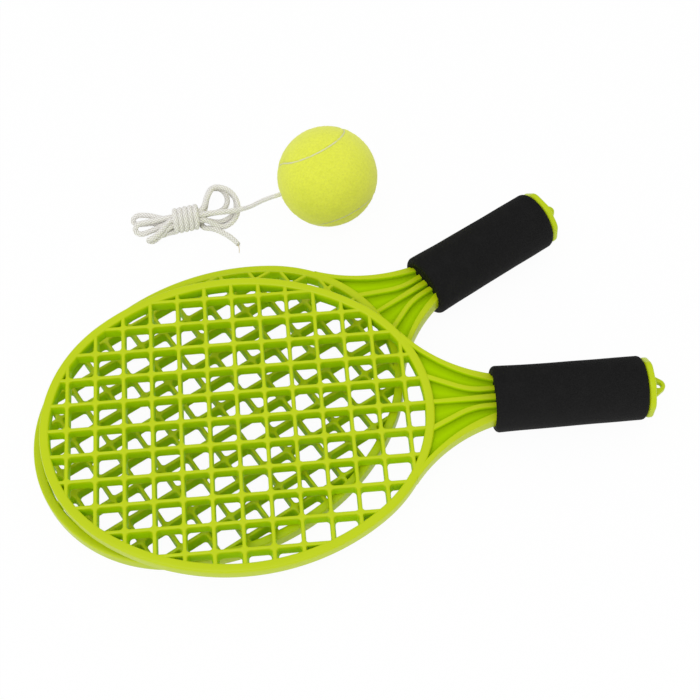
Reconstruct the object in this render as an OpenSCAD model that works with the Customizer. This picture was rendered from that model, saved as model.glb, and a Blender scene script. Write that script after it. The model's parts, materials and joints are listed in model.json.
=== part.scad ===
// Bat and ball set: two moulded bats, one lying across the other, and a felt ball on a hanked cord.
// Millimetres, +Z up, the floor at Z = 0, X along the upper bat seen in plan.

/* [Bat head] */
// Distance between neighbouring bars of the grid
cell_pitch = 17; // [15:0.5:17]
// Head from outside to outside, along the bat
head_length = 237; // [230:0.5:244]
// Distance between the middles of the head's end arcs and side arcs, more for a longer oval
arc_offset = 49; // [40:0.5:60]
// Thickness of the hoop, front face to back face
hoop_depth = 9.4; // [9:0.2:10.4]
// Width of the hoop's band, seen from above
hoop_band = 5.8; // [4:0.2:6.4]
// Rounding of the hoop's edges
hoop_edge = 1.2; // [0.6:0.2:1.6]
// Width of a grid bar
bar_width = 2.4; // [2:0.1:3.4]
// Depth of a grid bar
bar_depth = 8; // [6:0.2:8.6]

/* [Throat and handle] */
// Length of the throat, from the hoop's outer edge to the grip
throat_length = 35.4; // [34:0.2:44]
// Width of the throat where it enters the grip
throat_width = 32; // [26:1:33]
// Angle at which the throat's outer edges leave the grip
flare_angle = 15; // [10:0.5:18]
// Width of the two outer ribs
edge_rib = 4.2; // [2.5:0.1:4.8]
// Width of the three inner ribs
inner_rib = 3.6; // [2:0.1:4]
// Distance between inner ribs where they enter the grip
rib_spacing = 5.8; // [5:0.1:6.4]
// Depth of the grooves between the ribs
groove_depth = 4; // [2:0.25:4]
// Outer diameter of the foam grip
grip_d = 38.5; // [34:0.5:40]
// Length of the foam grip
grip_length = 92; // [80:1:100]
// Rounding of the foam grip's ends
grip_edge = 3; // [1:0.25:4]
// Diameter of the handle core under the foam
core_d = 29; // [25:0.5:30]
// Bore of the handle core, which takes the end cap's plug
core_bore_d = 21; // [16:0.5:22]

/* [End cap] */
// Width of the eight-sided flange, corner to corner
flange_d = 37; // [33:0.5:37.5]
// Thickness of the flange
flange_depth = 4.5; // [3:0.25:6]
// Length of the plug inside the handle
plug_length = 22; // [12:1:30]
// Radius of the hanging hole
hang_hole_r = 1.75; // [1.25:0.25:2]
// Wall around the hanging hole
hang_wall = 2.6; // [2:0.1:3]
// Thickness of the hanging tab
hang_depth = 4; // [3:0.25:6]
// Distance from the flange to the middle of the hanging hole
hang_reach = 4.8; // [4:0.1:6]

/* [Ball] */
// Diameter of the ball
ball_d = 67.6; // [65:0.2:69]
// Thickness of the felt
felt_depth = 3; // [2:0.25:3.5]
// Wall of the hollow rubber core
core_wall = 3.2; // [2.8:0.2:4]
// Width of the seam between the felt panels
seam_width = 1.6; // [1:0.1:2]

/* [Cord] */
// Diameter of the cord
cord_d = 2.8; // [2.4:0.1:2.8]

/* [Hidden] */
$fn = 64;

// Colours of the set
lime = [0.70, 0.79, 0.12];
charcoal = [0.12, 0.12, 0.115];
felt_yellow = [0.85, 0.89, 0.24];
seam_grey = [0.82, 0.84, 0.70];
rubber_grey = [0.32, 0.32, 0.30];
cord_white = [0.89, 0.88, 0.85];

// A length longer than any piece, for cutting, and a short one by which cuts and joins run over
far = 400;
overrun = 1;

// Oval of the head: two end arcs and two side arcs, tangent where a line with a 3-4-5 slope crosses them
slope_x = 0.6;
slope_y = 0.8;
half_length = head_length / 2;
end_x = slope_x * arc_offset;
side_y = slope_y * arc_offset;
end_radius = half_length - end_x;
side_radius = end_radius + arc_offset;
half_width = side_radius - side_y;
end_angle = atan2(slope_y, slope_x);
half_depth = hoop_depth / 2;

// Bars of the grid on each side of the middle one
columns = floor((half_length - hoop_band - bar_width) / cell_pitch);
rows = floor((half_width - hoop_band - bar_width) / cell_pitch);
// The bars lie a little below the hoop's front face
bar_sink = 0.3;
bar_top = half_depth - bar_sink;

// Stations along the bat, from the middle of the head
grip_start = half_length + throat_length;
grip_end = grip_start + grip_length;
flange_end = grip_end + flange_depth;
hang_x = flange_end + hang_reach;
// Half width of the hanging tab's foot, sides of the flange, and empty length of the bore past the plug
hang_foot = 7.5;
flange_sides = 8;
plug_room = 2;
grip_r = grip_d / 2;
core_r = core_d / 2;

// Throat outline: each outer edge is an arc that leaves the grip at the flare's angle and is tangent to the hoop
throat_reach = grip_start - end_x;
throat_half = throat_width / 2;
flare_radius = (throat_reach * throat_reach + throat_half * throat_half - end_radius * end_radius)
    / (2 * (end_radius - throat_reach * sin(flare_angle) - throat_half * cos(flare_angle)));
flare_x = grip_start + flare_radius * sin(flare_angle);
flare_y = throat_half + flare_radius * cos(flare_angle);
// Half width at which the throat's thin corners are cut off, short of the tangent point
throat_corner = 44;
// Radius of the inner ribs' sweep
rib_radius = 62;

// Slack between pieces that are glued or slid together, and between bodies that rest on each other
slip = 0.05;
rest_gap = 0.3;

// Turn of the lower bat in plan; the upper bat lies along X. Roll of each bat about its own length
lower_yaw = 29.1;
lower_roll = 2;
upper_roll = 6.6;
// Middle of the upper head, seen in plan from the middle of the lower head
upper_at = [11.5, -18.7];

// Plan centre of the set without its cord, which is the origin
set_centre = [78.1, 40.93];

// The lower bat stands on its rim and its grip.
// Up direction seen from a bat that is pitched and rolled
function up_seen(pitch, roll) = [sin(pitch), cos(pitch) * sin(roll), cos(pitch) * cos(roll)];
// Lowest heights of the hoop and of the grip below the head's middle, for a given up direction
function oval_reach(x, y) =
    atan2(abs(y), abs(x)) < end_angle
        ? end_x * abs(x) + (end_radius - hoop_edge) * norm([x, y])
        : -side_y * abs(y) + (side_radius - hoop_edge) * norm([x, y]);
function hoop_low(up) = -oval_reach(up[0], up[1]) - up[2] * (half_depth - hoop_edge) - hoop_edge;
function grip_low(up) =
    min(up[0] * (grip_start + grip_edge), up[0] * (grip_end - grip_edge))
    - (grip_r - grip_edge) * norm([up[1], up[2]]) - grip_edge;
// Pitch at which rim and grip touch the floor together, by halving
function rest_pitch(roll, low = 0, high = 7, steps = 40) =
    let (middle = (low + high) / 2, up = up_seen(middle, roll))
    steps == 0 ? middle
    : grip_low(up) > hoop_low(up) ? rest_pitch(roll, low, middle, steps - 1)
    : rest_pitch(roll, middle, high, steps - 1);
lower_pitch = rest_pitch(lower_roll);
lower_z = -hoop_low(up_seen(lower_pitch, lower_roll));

// The upper bat stands on its grip and leans on the lower bat.
function turn_x(a) = [[1, 0, 0], [0, cos(a), -sin(a)], [0, sin(a), cos(a)]];
function turn_y(a) = [[cos(a), 0, sin(a)], [0, 1, 0], [-sin(a), 0, cos(a)]];
function turn_z(a) = [[cos(a), -sin(a), 0], [sin(a), cos(a), 0], [0, 0, 1]];
function bat_turn(pitch, roll, yaw) = turn_z(yaw) * turn_y(-pitch) * turn_x(roll);
// Points round the middle of the hoop's band
arc_steps = 30;
band_end_r = end_radius - hoop_band / 2;
band_side_r = side_radius - hoop_band / 2;
band_points = concat(
    [for (way = [-1, 1], i = [-arc_steps:arc_steps]) let (a = end_angle * i / arc_steps)
        [way * (end_x + band_end_r * cos(a)), band_end_r * sin(a)]],
    [for (way = [-1, 1], i = [-arc_steps:arc_steps]) let (a = (90 - end_angle) * i / arc_steps)
        [band_side_r * sin(a), way * (band_side_r * cos(a) - side_y)]]
);
// Whether a point of the head's plane lies within its outer edge, or within that edge moved inwards
function in_oval(p, inset = 0) =
    (abs(p[0]) - end_x) * slope_y > abs(p[1]) * slope_x
        ? norm([abs(p[0]) - end_x, p[1]]) < end_radius - inset
        : norm([p[0], abs(p[1]) + side_y]) < side_radius - inset;
// The throat's half width at a station, and whether a point lies over it
function flare_at(x) = flare_y - sqrt(max(0, flare_radius * flare_radius - pow(flare_x - x, 2)));
function in_throat(p) =
    p[0] > half_length - throat_length / 2 && p[0] < grip_start && abs(p[1]) < flare_at(p[0]);
// Heights of a bat's front face and of its back, over a point of its middle plane
function front_at(p) = in_oval(p) || in_throat(p) ? half_depth : -far;
function back_at(p) = in_oval(p, hoop_band) ? bar_top - bar_depth : in_oval(p) ? -half_depth : far;
// Height of the upper head at which the two bats just clear each other, for the upper bat's pitch
function lift(pitch) =
    let (lower = bat_turn(lower_pitch, lower_roll, lower_yaw), upper = bat_turn(pitch, upper_roll, 0))
    let (apart = [upper_at[0], upper_at[1], -lower_z])
    max(concat(
        [for (p = band_points)
            let (q = (apart + upper * [p[0], p[1], -half_depth]) * lower)
            (front_at(q) + rest_gap - q[2]) / lower[2][2]],
        [for (p = band_points)
            let (q = (lower * [p[0], p[1], half_depth] - apart) * upper)
            (q[2] + rest_gap - back_at(q)) / upper[2][2]]
    ));
// Pitch at which the upper grip touches the floor while the head leans on the lower bat, by halving
function lean_pitch(low = -6, high = 3, steps = 40) =
    let (middle = (low + high) / 2)
    steps == 0 ? middle
    : lift(middle) + grip_low(up_seen(middle, upper_roll)) > 0 ? lean_pitch(low, middle, steps - 1)
    : lean_pitch(middle, high, steps - 1);
upper_pitch = lean_pitch();
upper_z = lift(upper_pitch);

// Ball: place, the way its cord leaves it, and the turn of its seam
ball_r = ball_d / 2;
felt_in = ball_r - felt_depth;
core_in = felt_in - core_wall;
ball_at = [79.7, 165.4, ball_r];
hole_turn = 192.5;
hole_dip = 9;
hole_axis = [cos(hole_dip) * cos(hole_turn), cos(hole_dip) * sin(hole_turn), -sin(hole_dip)];
seam_turn = [1.6, 53.9, -53.8];
// The seam is four half circles, each on a plane this far from the ball's middle
seam_plane = ball_r / sqrt(2);
seam_recess = 0.5;

// Cord: radius, running slack in the ball's hole, knot
cord_r = cord_d / 2;
cord_slack = 0.1;
hole_r = cord_r + cord_slack;
knot_r = 4;
knot_length = 7;
knot_edge = 2;
knot_face = core_in - rest_gap;

// Hank, in its own frame: u along it, v across it, z up
hank_at = [-19, 161.8];
hank_turn = 9.4;
// Seven strands pass through the waist, packed in a hexagon, and the cord's end wraps round them
strand_gap = 0.7;
strand_step = cord_d + strand_gap;
row_rise = sin(60);
leftward_slots = strand_step * [[-0.5, row_rise], [0.5, row_rise], [1, 0], [-0.5, -row_rise]];
rightward_slots = strand_step * [[-1, 0], [0, 0], [0.5, -row_rise]];
wrap_r = 2 * strand_step;
waist_z = cord_r + wrap_r;
waist_half = 10;
// Each turn of the cord: u where it starts, reach, and [v, z] where the cord comes in and goes out
left_turns = [
    [-25, 3, [-9.8, 7.4], [-7.4, 1.6]],
    [-31, 4.4, [4.6, 8.4], [-0.8, 3.6]],
    [-31, 4.6, [14, 6.6], [10.2, 1.6]],
    [-18, 2.8, [0.8, 1.5], [-3.8, 1.5]]
];
right_turns = [
    [23.5, 13.5, [-8, 1.6], [20.4, 11.4]],
    [22.5, 8.6, [6.2, 1.6], [24.2, 7]],
    [22.5, 14, [28.4, 1.6], [-3.2, 1.6]]
];
turn_steps = 6;
// Stations along the runs, from the turns to the ends of the waist
right_stations = [18, 14.5, 12, 10];
left_stations = [-10, -12, -14.5, -18, -24];
station_room = 2;
// Where the cord from the ball comes in over the eye
lead_end = [38, -2.2, 8.8];
lead_stations = [30, 25, 20, 15, 10];
// The last turn runs on into the wraps: places along the waist and angles round it
wrap_in_u = -14;
wrap_in_angle = -125;
wrap_u = -8;
wrap_angle = -165;
wrap_in_steps = 5;
ring_angle = 15;
wrap_steps = 115;

// The cord leaves the ball straight, then follows a route to the hank, and from the hank to its frayed end
straight_out = 4;
lead_route = [[39, 158.8, 25], [33.8, 160.6, 20.8], [29.2, 162.6, 16], [25.1, 164.6, 11.8]];
tail_route = [
    [12.2, -5.9], [14.8, -6.8], [17.6, -8.6], [20.6, -11.4], [23.6, -14.8], [26.4, -18.6],
    [28.6, -22.4], [30.4, -26.4]
];

// Points on a quarter arc, for rounding the corners of a profile
function corner(centre, radius, from, steps) =
    [for (i = [0:steps]) centre + radius * [cos(from + 90 * i / steps), sin(from + 90 * i / steps)]];
function rounded_box(low, high, radius, steps) = concat(
    corner([high[0] - radius, high[1] - radius], radius, 0, steps),
    corner([low[0] + radius, high[1] - radius], radius, 90, steps),
    corner([low[0] + radius, low[1] + radius], radius, 180, steps),
    corner([high[0] - radius, low[1] + radius], radius, 270, steps)
);

function mix(a, b, t) = a + (b - a) * t;
function ease(t) = let (c = min(1, max(0, t))) c * c * (3 - 2 * c);
function unit(v) = v / norm(v);

// A point on a run that leaves its slot at the waist and opens towards the end of a turn
function open_run(u, slot, turn, end) =
    let (t = ease((abs(u) - waist_half) / (abs(turn[0]) - waist_half)))
    [u, mix(slot[0], end[0], t), mix(waist_z + slot[1], end[1], t)];
// Points round a turn, to the left or to the right
function turn_round(turn, way) = [
    for (i = [0:turn_steps])
        let (angle = 180 * i / turn_steps, t = (1 - cos(angle)) / 2)
        [turn[0] + way * turn[1] * sin(angle), mix(turn[2][0], turn[3][0], t), mix(turn[2][1], turn[3][1], t)]
];
function backwards(list) = [for (i = [len(list) - 1:-1:0]) list[i]];
function left_part(turn) = [for (u = left_stations) if (u > turn[0] + station_room) u];
// The cord's way from a right turn to a left turn, and back to the next right turn
function leftward(k) = concat(
    k == 0 ? [] : let (from = right_turns[k - 1])
        [for (u = right_stations) open_run(u, leftward_slots[k], from, from[3])],
    let (to = left_turns[k]) [for (u = left_part(to)) open_run(u, leftward_slots[k], to, to[2])],
    turn_round(left_turns[k], -1)
);
function rightward(k) = concat(
    let (from = left_turns[k])
        [for (u = backwards(left_part(from))) open_run(u, rightward_slots[k], from, from[3])],
    let (to = right_turns[k])
        [for (u = backwards(right_stations)) open_run(u, rightward_slots[k], to, to[2])],
    turn_round(right_turns[k], 1)
);
// The cord comes in over the eye and runs straight to the waist
function lead_in(u) =
    let (t = ease((u - waist_half) / (lead_end[0] - cord_d - waist_half)), slot = leftward_slots[0])
    [u, mix(slot[0], lead_end[1], t), mix(waist_z + slot[1], lead_end[2], t)];
// A point round the waist, at an angle from the far side
function round_waist(u, angle) = [u, wrap_r * cos(angle), waist_z + wrap_r * sin(angle)];
function wrap_in(i) =
    let (angle = 90 * i / wrap_in_steps)
    round_waist(mix(wrap_in_u, wrap_u, sin(angle)), mix(wrap_in_angle, wrap_angle, 1 - cos(angle)));
function wrap(i) = round_waist(wrap_u + strand_step * i * ring_angle / 360, wrap_angle - ring_angle * i);
// The wraps run straight on into the tail
tail_way = [1, -2.6, 0];
tail_start = wrap(wrap_steps) + tail_way;

hank_path = concat(
    [lead_end, lead_in(lead_end[0] - cord_d)],
    [for (u = lead_stations) lead_in(u)],
    leftward(0), rightward(0), leftward(1), rightward(1), leftward(2), rightward(2), leftward(3),
    [for (i = [0:wrap_in_steps - 1]) wrap_in(i)],
    [for (i = [0:wrap_steps]) wrap(i)],
    [tail_start]
);
// From the hank's own frame to the set's
function on_floor(p) = [
    hank_at[0] + p[0] * cos(hank_turn) - p[1] * sin(hank_turn),
    hank_at[1] + p[0] * sin(hank_turn) + p[1] * cos(hank_turn),
    p[2]
];
lead_path = concat(
    [for (reach = [knot_face, core_in + core_wall / 2, felt_in]) ball_at + reach * hole_axis],
    [for (reach = [0, 0.5, 1]) ball_at + (ball_r + reach * straight_out) * hole_axis],
    lead_route,
    [on_floor(lead_end + [cord_d, 0, 0]), on_floor(lead_end)]
);
tail_path = concat(
    [on_floor(tail_start), on_floor(tail_start + 0.7 * tail_way)],
    [for (p = tail_route) on_floor([p[0], p[1], cord_r])]
);

// Directions along a path, and a normal carried along it without twist
function directions(path) = [
    for (i = [0:len(path) - 1]) unit(path[min(i + 1, len(path) - 1)] - path[max(i - 1, 0)])
];
function square_to(v, along) = unit(v - (v * along) * along);
function normals(along) = [
    for (i = 0, side = square_to([0, 0.3, 1], along[0]);
         i < len(along);
         i = i + 1, side = i < len(along) ? square_to(side, along[i]) : side) side
];
// Least distance between stretches of a path that are apart along it
function to_segment(p, a, b) =
    let (t = min(1, max(0, (p - a) * (b - a) / ((b - a) * (b - a))))) norm(p - a - t * (b - a));
function least_gap(path, apart) = min([
    for (i = [0:len(path) - 1]) for (j = [i + apart:len(path) - 2])
        to_segment(path[i], path[j], path[j + 1])
]) - cord_d;

// A closed tube along a path, in triangles
module tube(path, radius, sides) {
    along = directions(path);
    side = normals(along);
    rings = len(path);
    points = [
        for (i = [0:rings - 1]) let (other = cross(along[i], side[i])) for (k = [0:sides - 1])
            path[i] + radius * (side[i] * cos(360 * k / sides) + other * sin(360 * k / sides))
    ];
    wall = [
        for (i = [0:rings - 2]) for (k = [0:sides - 1])
            let (a = i * sides + k, b = i * sides + (k + 1) % sides)
            each [[a, a + sides, b], [b, a + sides, b + sides]]
    ];
    first_end = [for (k = [1:sides - 2]) [0, k, k + 1]];
    top = (rings - 1) * sides;
    last_end = [for (k = [1:sides - 2]) [top, top + k + 1, top + k]];
    polyhedron(points, concat(wall, first_end, last_end), convexity = 10);
}

// Placing
module lower_bat() {
    in_set() translate([0, 0, lower_z]) rotate([lower_roll, -lower_pitch, lower_yaw]) children();
}
module upper_bat() {
    in_set() translate([upper_at[0], upper_at[1], upper_z]) rotate([upper_roll, -upper_pitch, 0]) children();
}
module in_set() {
    translate([-set_centre[0], -set_centre[1], 0]) children();
}
module at_ball() {
    in_set() translate(ball_at) children();
}
// Z along the ball's hole, out of the ball
module along_hole() {
    rotate([0, 90 + hole_dip, hole_turn]) children();
}
// Z along the bat, towards the handle's end
module along_bat(x) {
    translate([x, 0, 0]) rotate([0, 90, 0]) children();
}

// One arc of a ring round the head's oval, between two lines with the oval's slope
module ring_arc(radius, profile, half_span, depth) {
    intersection() {
        rotate_extrude($fn = 180) polygon([for (p = profile) p + [radius, 0]]);
        linear_extrude(far, center = true) polygon([[0, 0], [half_span, depth], [-half_span, depth]]);
    }
}
// A ring that follows the head's oval, from a profile measured outwards from its outer edge
module oval_ring(profile) {
    for (end = [-90, 90]) {
        rotate([0, 0, end]) translate([0, end_x, 0])
            ring_arc(end_radius, profile, slope_y * far, slope_x * far);
    }
    for (side = [0, 180]) {
        rotate([0, 0, side]) translate([0, -side_y, 0])
            ring_arc(side_radius, profile, slope_x * far, slope_y * far);
    }
}

module hoop() {
    color(lime) oval_ring(rounded_box([-hoop_band, -half_depth], [0, half_depth], hoop_edge, 2));
}

// Half lengths of the bars, which end within the hoop's band before they are trimmed to its inner wall
end_reach = end_radius - hoop_band / 2;
side_reach = side_radius - hoop_band / 2;
function column_half(x) =
    abs(x) > end_x + slope_x * end_radius
        ? sqrt(end_reach * end_reach - (abs(x) - end_x) * (abs(x) - end_x))
        : sqrt(side_reach * side_reach - x * x) - side_y;
function row_half(y) =
    abs(y) < slope_y * end_radius
        ? end_x + sqrt(end_reach * end_reach - y * y)
        : sqrt(side_reach * side_reach - (abs(y) + side_y) * (abs(y) + side_y));

module string_grid() {
    color(lime) translate([0, 0, bar_top - bar_depth / 2]) difference() {
        union() {
            for (i = [-columns:columns]) {
                translate([i * cell_pitch, 0, 0])
                    cube([bar_width, 2 * column_half(i * cell_pitch), bar_depth], center = true);
            }
            for (j = [-rows:rows]) {
                translate([0, j * cell_pitch, 0])
                    cube([2 * row_half(j * cell_pitch), bar_width, bar_depth], center = true);
            }
        }
        oval_ring([
            [-hoop_band, -hoop_depth], [hoop_band, -hoop_depth],
            [hoop_band, hoop_depth], [-hoop_band, hoop_depth]
        ]);
    }
}

// The throat seen from above
module throat_outline() {
    difference() {
        translate([end_x, -throat_corner]) square([throat_reach, 2 * throat_corner]);
        translate([end_x, 0]) circle(end_radius, $fn = 180);
        for (side = [-1, 1]) {
            translate([flare_x, side * flare_y]) circle(flare_radius, $fn = 180);
        }
    }
}
// A curved rib: a band round a centre, between two radii
module swept_rib(centre, inner_radius, width) {
    translate(centre) difference() {
        circle(inner_radius + width, $fn = 180);
        circle(inner_radius, $fn = 180);
    }
}
module throat_ribs() {
    intersection() {
        throat_outline();
        union() {
            translate([end_x, -inner_rib / 2]) square([throat_reach, inner_rib]);
            for (side = [0, 1]) {
                mirror([0, side])
                    swept_rib([grip_start, rib_spacing + rib_radius], rib_radius - inner_rib / 2, inner_rib);
                mirror([0, side]) swept_rib([flare_x, flare_y], flare_radius, edge_rib);
            }
        }
    }
}
module throat() {
    color(lime) union() {
        linear_extrude(hoop_depth, center = true) throat_ribs();
        linear_extrude(hoop_depth - 2 * groove_depth, center = true) throat_outline();
    }
}

module handle_core() {
    color(lime) along_bat(grip_start) difference() {
        cylinder(r = core_r, h = grip_length);
        translate([0, 0, grip_length - plug_length - plug_room])
            cylinder(d = core_bore_d, h = plug_length + plug_room + overrun);
    }
}

module foam_grip() {
    color(charcoal) along_bat(grip_start) rotate_extrude() polygon(concat(
        [[core_r, 0]],
        corner([grip_r - grip_edge, grip_edge], grip_edge, -90, 5),
        corner([grip_r - grip_edge, grip_length - grip_edge], grip_edge, 0, 5),
        [[core_r, grip_length]]
    ));
}

// The hanging tab seen from above, with its foot on the flange
module hang_tab() {
    tip_r = hang_hole_r + hang_wall;
    polygon(concat(
        [[flange_end - overrun, -hang_foot], [flange_end, -hang_foot]],
        [for (a = [-60:15:60]) [hang_x + tip_r * cos(a), tip_r * sin(a)]],
        [[flange_end, hang_foot], [flange_end - overrun, hang_foot]]
    ));
}
module end_cap() {
    color(lime) difference() {
        union() {
            along_bat(grip_end) rotate([0, 0, 180 / flange_sides])
                cylinder(d = flange_d, h = flange_depth, $fn = flange_sides);
            along_bat(grip_end - plug_length) cylinder(d = core_bore_d - 2 * slip, h = plug_length + overrun);
            translate([0, 0, -hang_depth / 2]) linear_extrude(hang_depth) hang_tab();
        }
        translate([hang_x, 0, 0]) cylinder(r = hang_hole_r, h = 3 * hang_depth, center = true);
    }
}

module lower_hoop() { lower_bat() hoop(); }
module lower_string_grid() { lower_bat() string_grid(); }
module lower_throat() { lower_bat() throat(); }
module lower_handle_core() { lower_bat() handle_core(); }
module lower_foam_grip() { lower_bat() foam_grip(); }
module lower_end_cap() { lower_bat() end_cap(); }
module upper_hoop() { upper_bat() hoop(); }
module upper_string_grid() { upper_bat() string_grid(); }
module upper_throat() { upper_bat() throat(); }
module upper_handle_core() { upper_bat() handle_core(); }
module upper_foam_grip() { upper_bat() foam_grip(); }
module upper_end_cap() { upper_bat() end_cap(); }

// A hollow sphere
module shell(outer, inner) {
    difference() {
        sphere(outer);
        sphere(inner);
    }
}
module cord_hole() {
    along_hole() cylinder(r = hole_r, h = ball_d);
}
// Space within a distance of the X = 0 plane above, or of the Y = 0 plane below
module band_above(half) {
    translate([-half, -far / 2, 0]) cube([2 * half, far, far / 2]);
}
module band_below(half) {
    translate([-far / 2, -half, -far / 2]) cube([far, 2 * half, far / 2]);
}
// One dumb-bell panel: a waist over the top that widens into two lobes below
module panel_space() {
    band_above(seam_plane - seam_width / 2);
    for (side = [-1, 1]) {
        translate([-far / 2, side > 0 ? seam_plane + seam_width / 2 : -far / 2, -far / 2])
            cube([far, far / 2 - seam_plane - seam_width / 2, far / 2]);
    }
}
module felt_panel(flip) {
    color(felt_yellow) at_ball() difference() {
        rotate(seam_turn) rotate(flip ? [180, 0, 90] : [0, 0, 0]) intersection() {
            rotate([0, 90, 45]) shell(ball_r, felt_in);
            panel_space();
        }
        cord_hole();
    }
}
module felt_panel_a() { felt_panel(false); }
module felt_panel_b() { felt_panel(true); }

module ball_seam() {
    inner = seam_plane - seam_width / 2;
    outer = seam_plane + seam_width / 2;
    color(seam_grey) at_ball() intersection() {
        shell(ball_r - seam_recess, felt_in);
        rotate(seam_turn) union() {
            difference() {
                band_above(outer);
                band_above(inner);
            }
            difference() {
                band_below(outer);
                band_below(inner);
            }
        }
    }
}

module core_half(turn) {
    at_ball() difference() {
        intersection() {
            shell(felt_in, core_in);
            along_hole() rotate([turn, 0, 0]) translate([-far / 2, -far / 2, 0]) cube([far, far, far]);
        }
        cord_hole();
    }
}
module core_half_front() { color(rubber_grey) core_half(0); }
module core_half_back() { color(rubber_grey) core_half(180); }

// The knot that keeps the cord's end inside the ball
module stop_knot() {
    color(cord_white) at_ball() along_hole() translate([0, 0, knot_face - knot_length])
        rotate_extrude() polygon(concat(
            [[0, 0]],
            corner([knot_r - knot_edge, knot_edge], knot_edge, -90, 4),
            corner([knot_r - knot_edge, knot_length - knot_edge], knot_edge, 0, 4),
            [[0, knot_length]]
        ));
}
module cord_lead() { color(cord_white) in_set() tube(lead_path, cord_r, 8); }
module cord_hank() {
    echo(hank_least_gap = least_gap(hank_path, 5));
    color(cord_white) in_set() tube([for (p = hank_path) on_floor(p)], cord_r, 6);
}
module cord_tail() { color(cord_white) in_set() tube(tail_path, cord_r, 8); }

lower_hoop();
lower_string_grid();
lower_throat();
lower_handle_core();
lower_foam_grip();
lower_end_cap();
upper_hoop();
upper_string_grid();
upper_throat();
upper_handle_core();
upper_foam_grip();
upper_end_cap();
felt_panel_a();
felt_panel_b();
ball_seam();
core_half_front();
core_half_back();
stop_knot();
cord_lead();
cord_hank();
cord_tail();
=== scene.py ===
"""Pole tennis set: a pair of moulded bats, one lying across the other, and a felt ball on a hanked cord."""

import json
import math
import random

import bmesh
import bpy
from bpy.props import FloatProperty, FloatVectorProperty, IntProperty, PointerProperty
from mathutils import Matrix, Vector, noise


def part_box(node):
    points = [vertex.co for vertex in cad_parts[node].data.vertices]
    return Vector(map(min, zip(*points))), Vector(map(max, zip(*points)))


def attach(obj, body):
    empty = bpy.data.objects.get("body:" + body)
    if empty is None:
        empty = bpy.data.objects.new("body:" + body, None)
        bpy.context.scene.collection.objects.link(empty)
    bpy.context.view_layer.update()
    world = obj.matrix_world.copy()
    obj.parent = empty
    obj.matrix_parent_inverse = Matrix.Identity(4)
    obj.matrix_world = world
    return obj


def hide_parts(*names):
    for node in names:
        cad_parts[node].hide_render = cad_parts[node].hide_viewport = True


bl_info = {
    "name": "Pole tennis set",
    "version": (1, 0, 0),
    "blender": (4, 5, 0),
    "location": "View3D > Sidebar > Pole tennis",
    "description": "Builds a pair of moulded bats and a felt ball on a hanked cord around their packed frame",
    "category": "Object",
}

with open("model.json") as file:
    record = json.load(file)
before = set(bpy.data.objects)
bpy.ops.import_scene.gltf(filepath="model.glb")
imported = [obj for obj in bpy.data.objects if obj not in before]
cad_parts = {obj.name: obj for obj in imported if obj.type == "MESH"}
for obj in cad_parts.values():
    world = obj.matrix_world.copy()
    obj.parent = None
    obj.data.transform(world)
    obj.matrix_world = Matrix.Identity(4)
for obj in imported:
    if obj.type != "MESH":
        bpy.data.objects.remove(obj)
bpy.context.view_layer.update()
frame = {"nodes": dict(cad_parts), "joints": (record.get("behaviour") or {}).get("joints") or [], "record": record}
SIDES = ("lower", "upper")
UP = Vector((0, 0, 1))


def mm(value):
    return value / 1000


def srgb(red, green, blue):
    """A colour written in display values from 0 to 255, as the linear colour that a shader takes."""
    parts = [channel / 255 for channel in (red, green, blue)]
    return [p / 12.92 if p <= 0.04045 else ((p + 0.055) / 1.055) ** 2.4 for p in parts]


def size(label, millimetres, description):
    return FloatProperty(name=label, description=description, default=mm(millimetres), unit="LENGTH",
                         subtype="DISTANCE", precision=5)


def angle(label, degrees, description):
    return FloatProperty(name=label, description=description, default=math.radians(degrees), unit="ROTATION",
                         subtype="ANGLE")


def colour(label, linear, description):
    return FloatVectorProperty(name=label, description=description, default=linear, size=3, min=0, max=1,
                               subtype="COLOR")


def spot(label, millimetres, description):
    metres = [mm(part) for part in millimetres]
    return FloatVectorProperty(name=label, description=description, default=metres, unit="LENGTH",
                               subtype="XYZ", precision=5)


def amount(label, value, description, **kind):
    return FloatProperty(name=label, description=description, default=value, **kind)


def number(label, value, description, least):
    return IntProperty(name=label, description=description, default=value, min=least)


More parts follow.
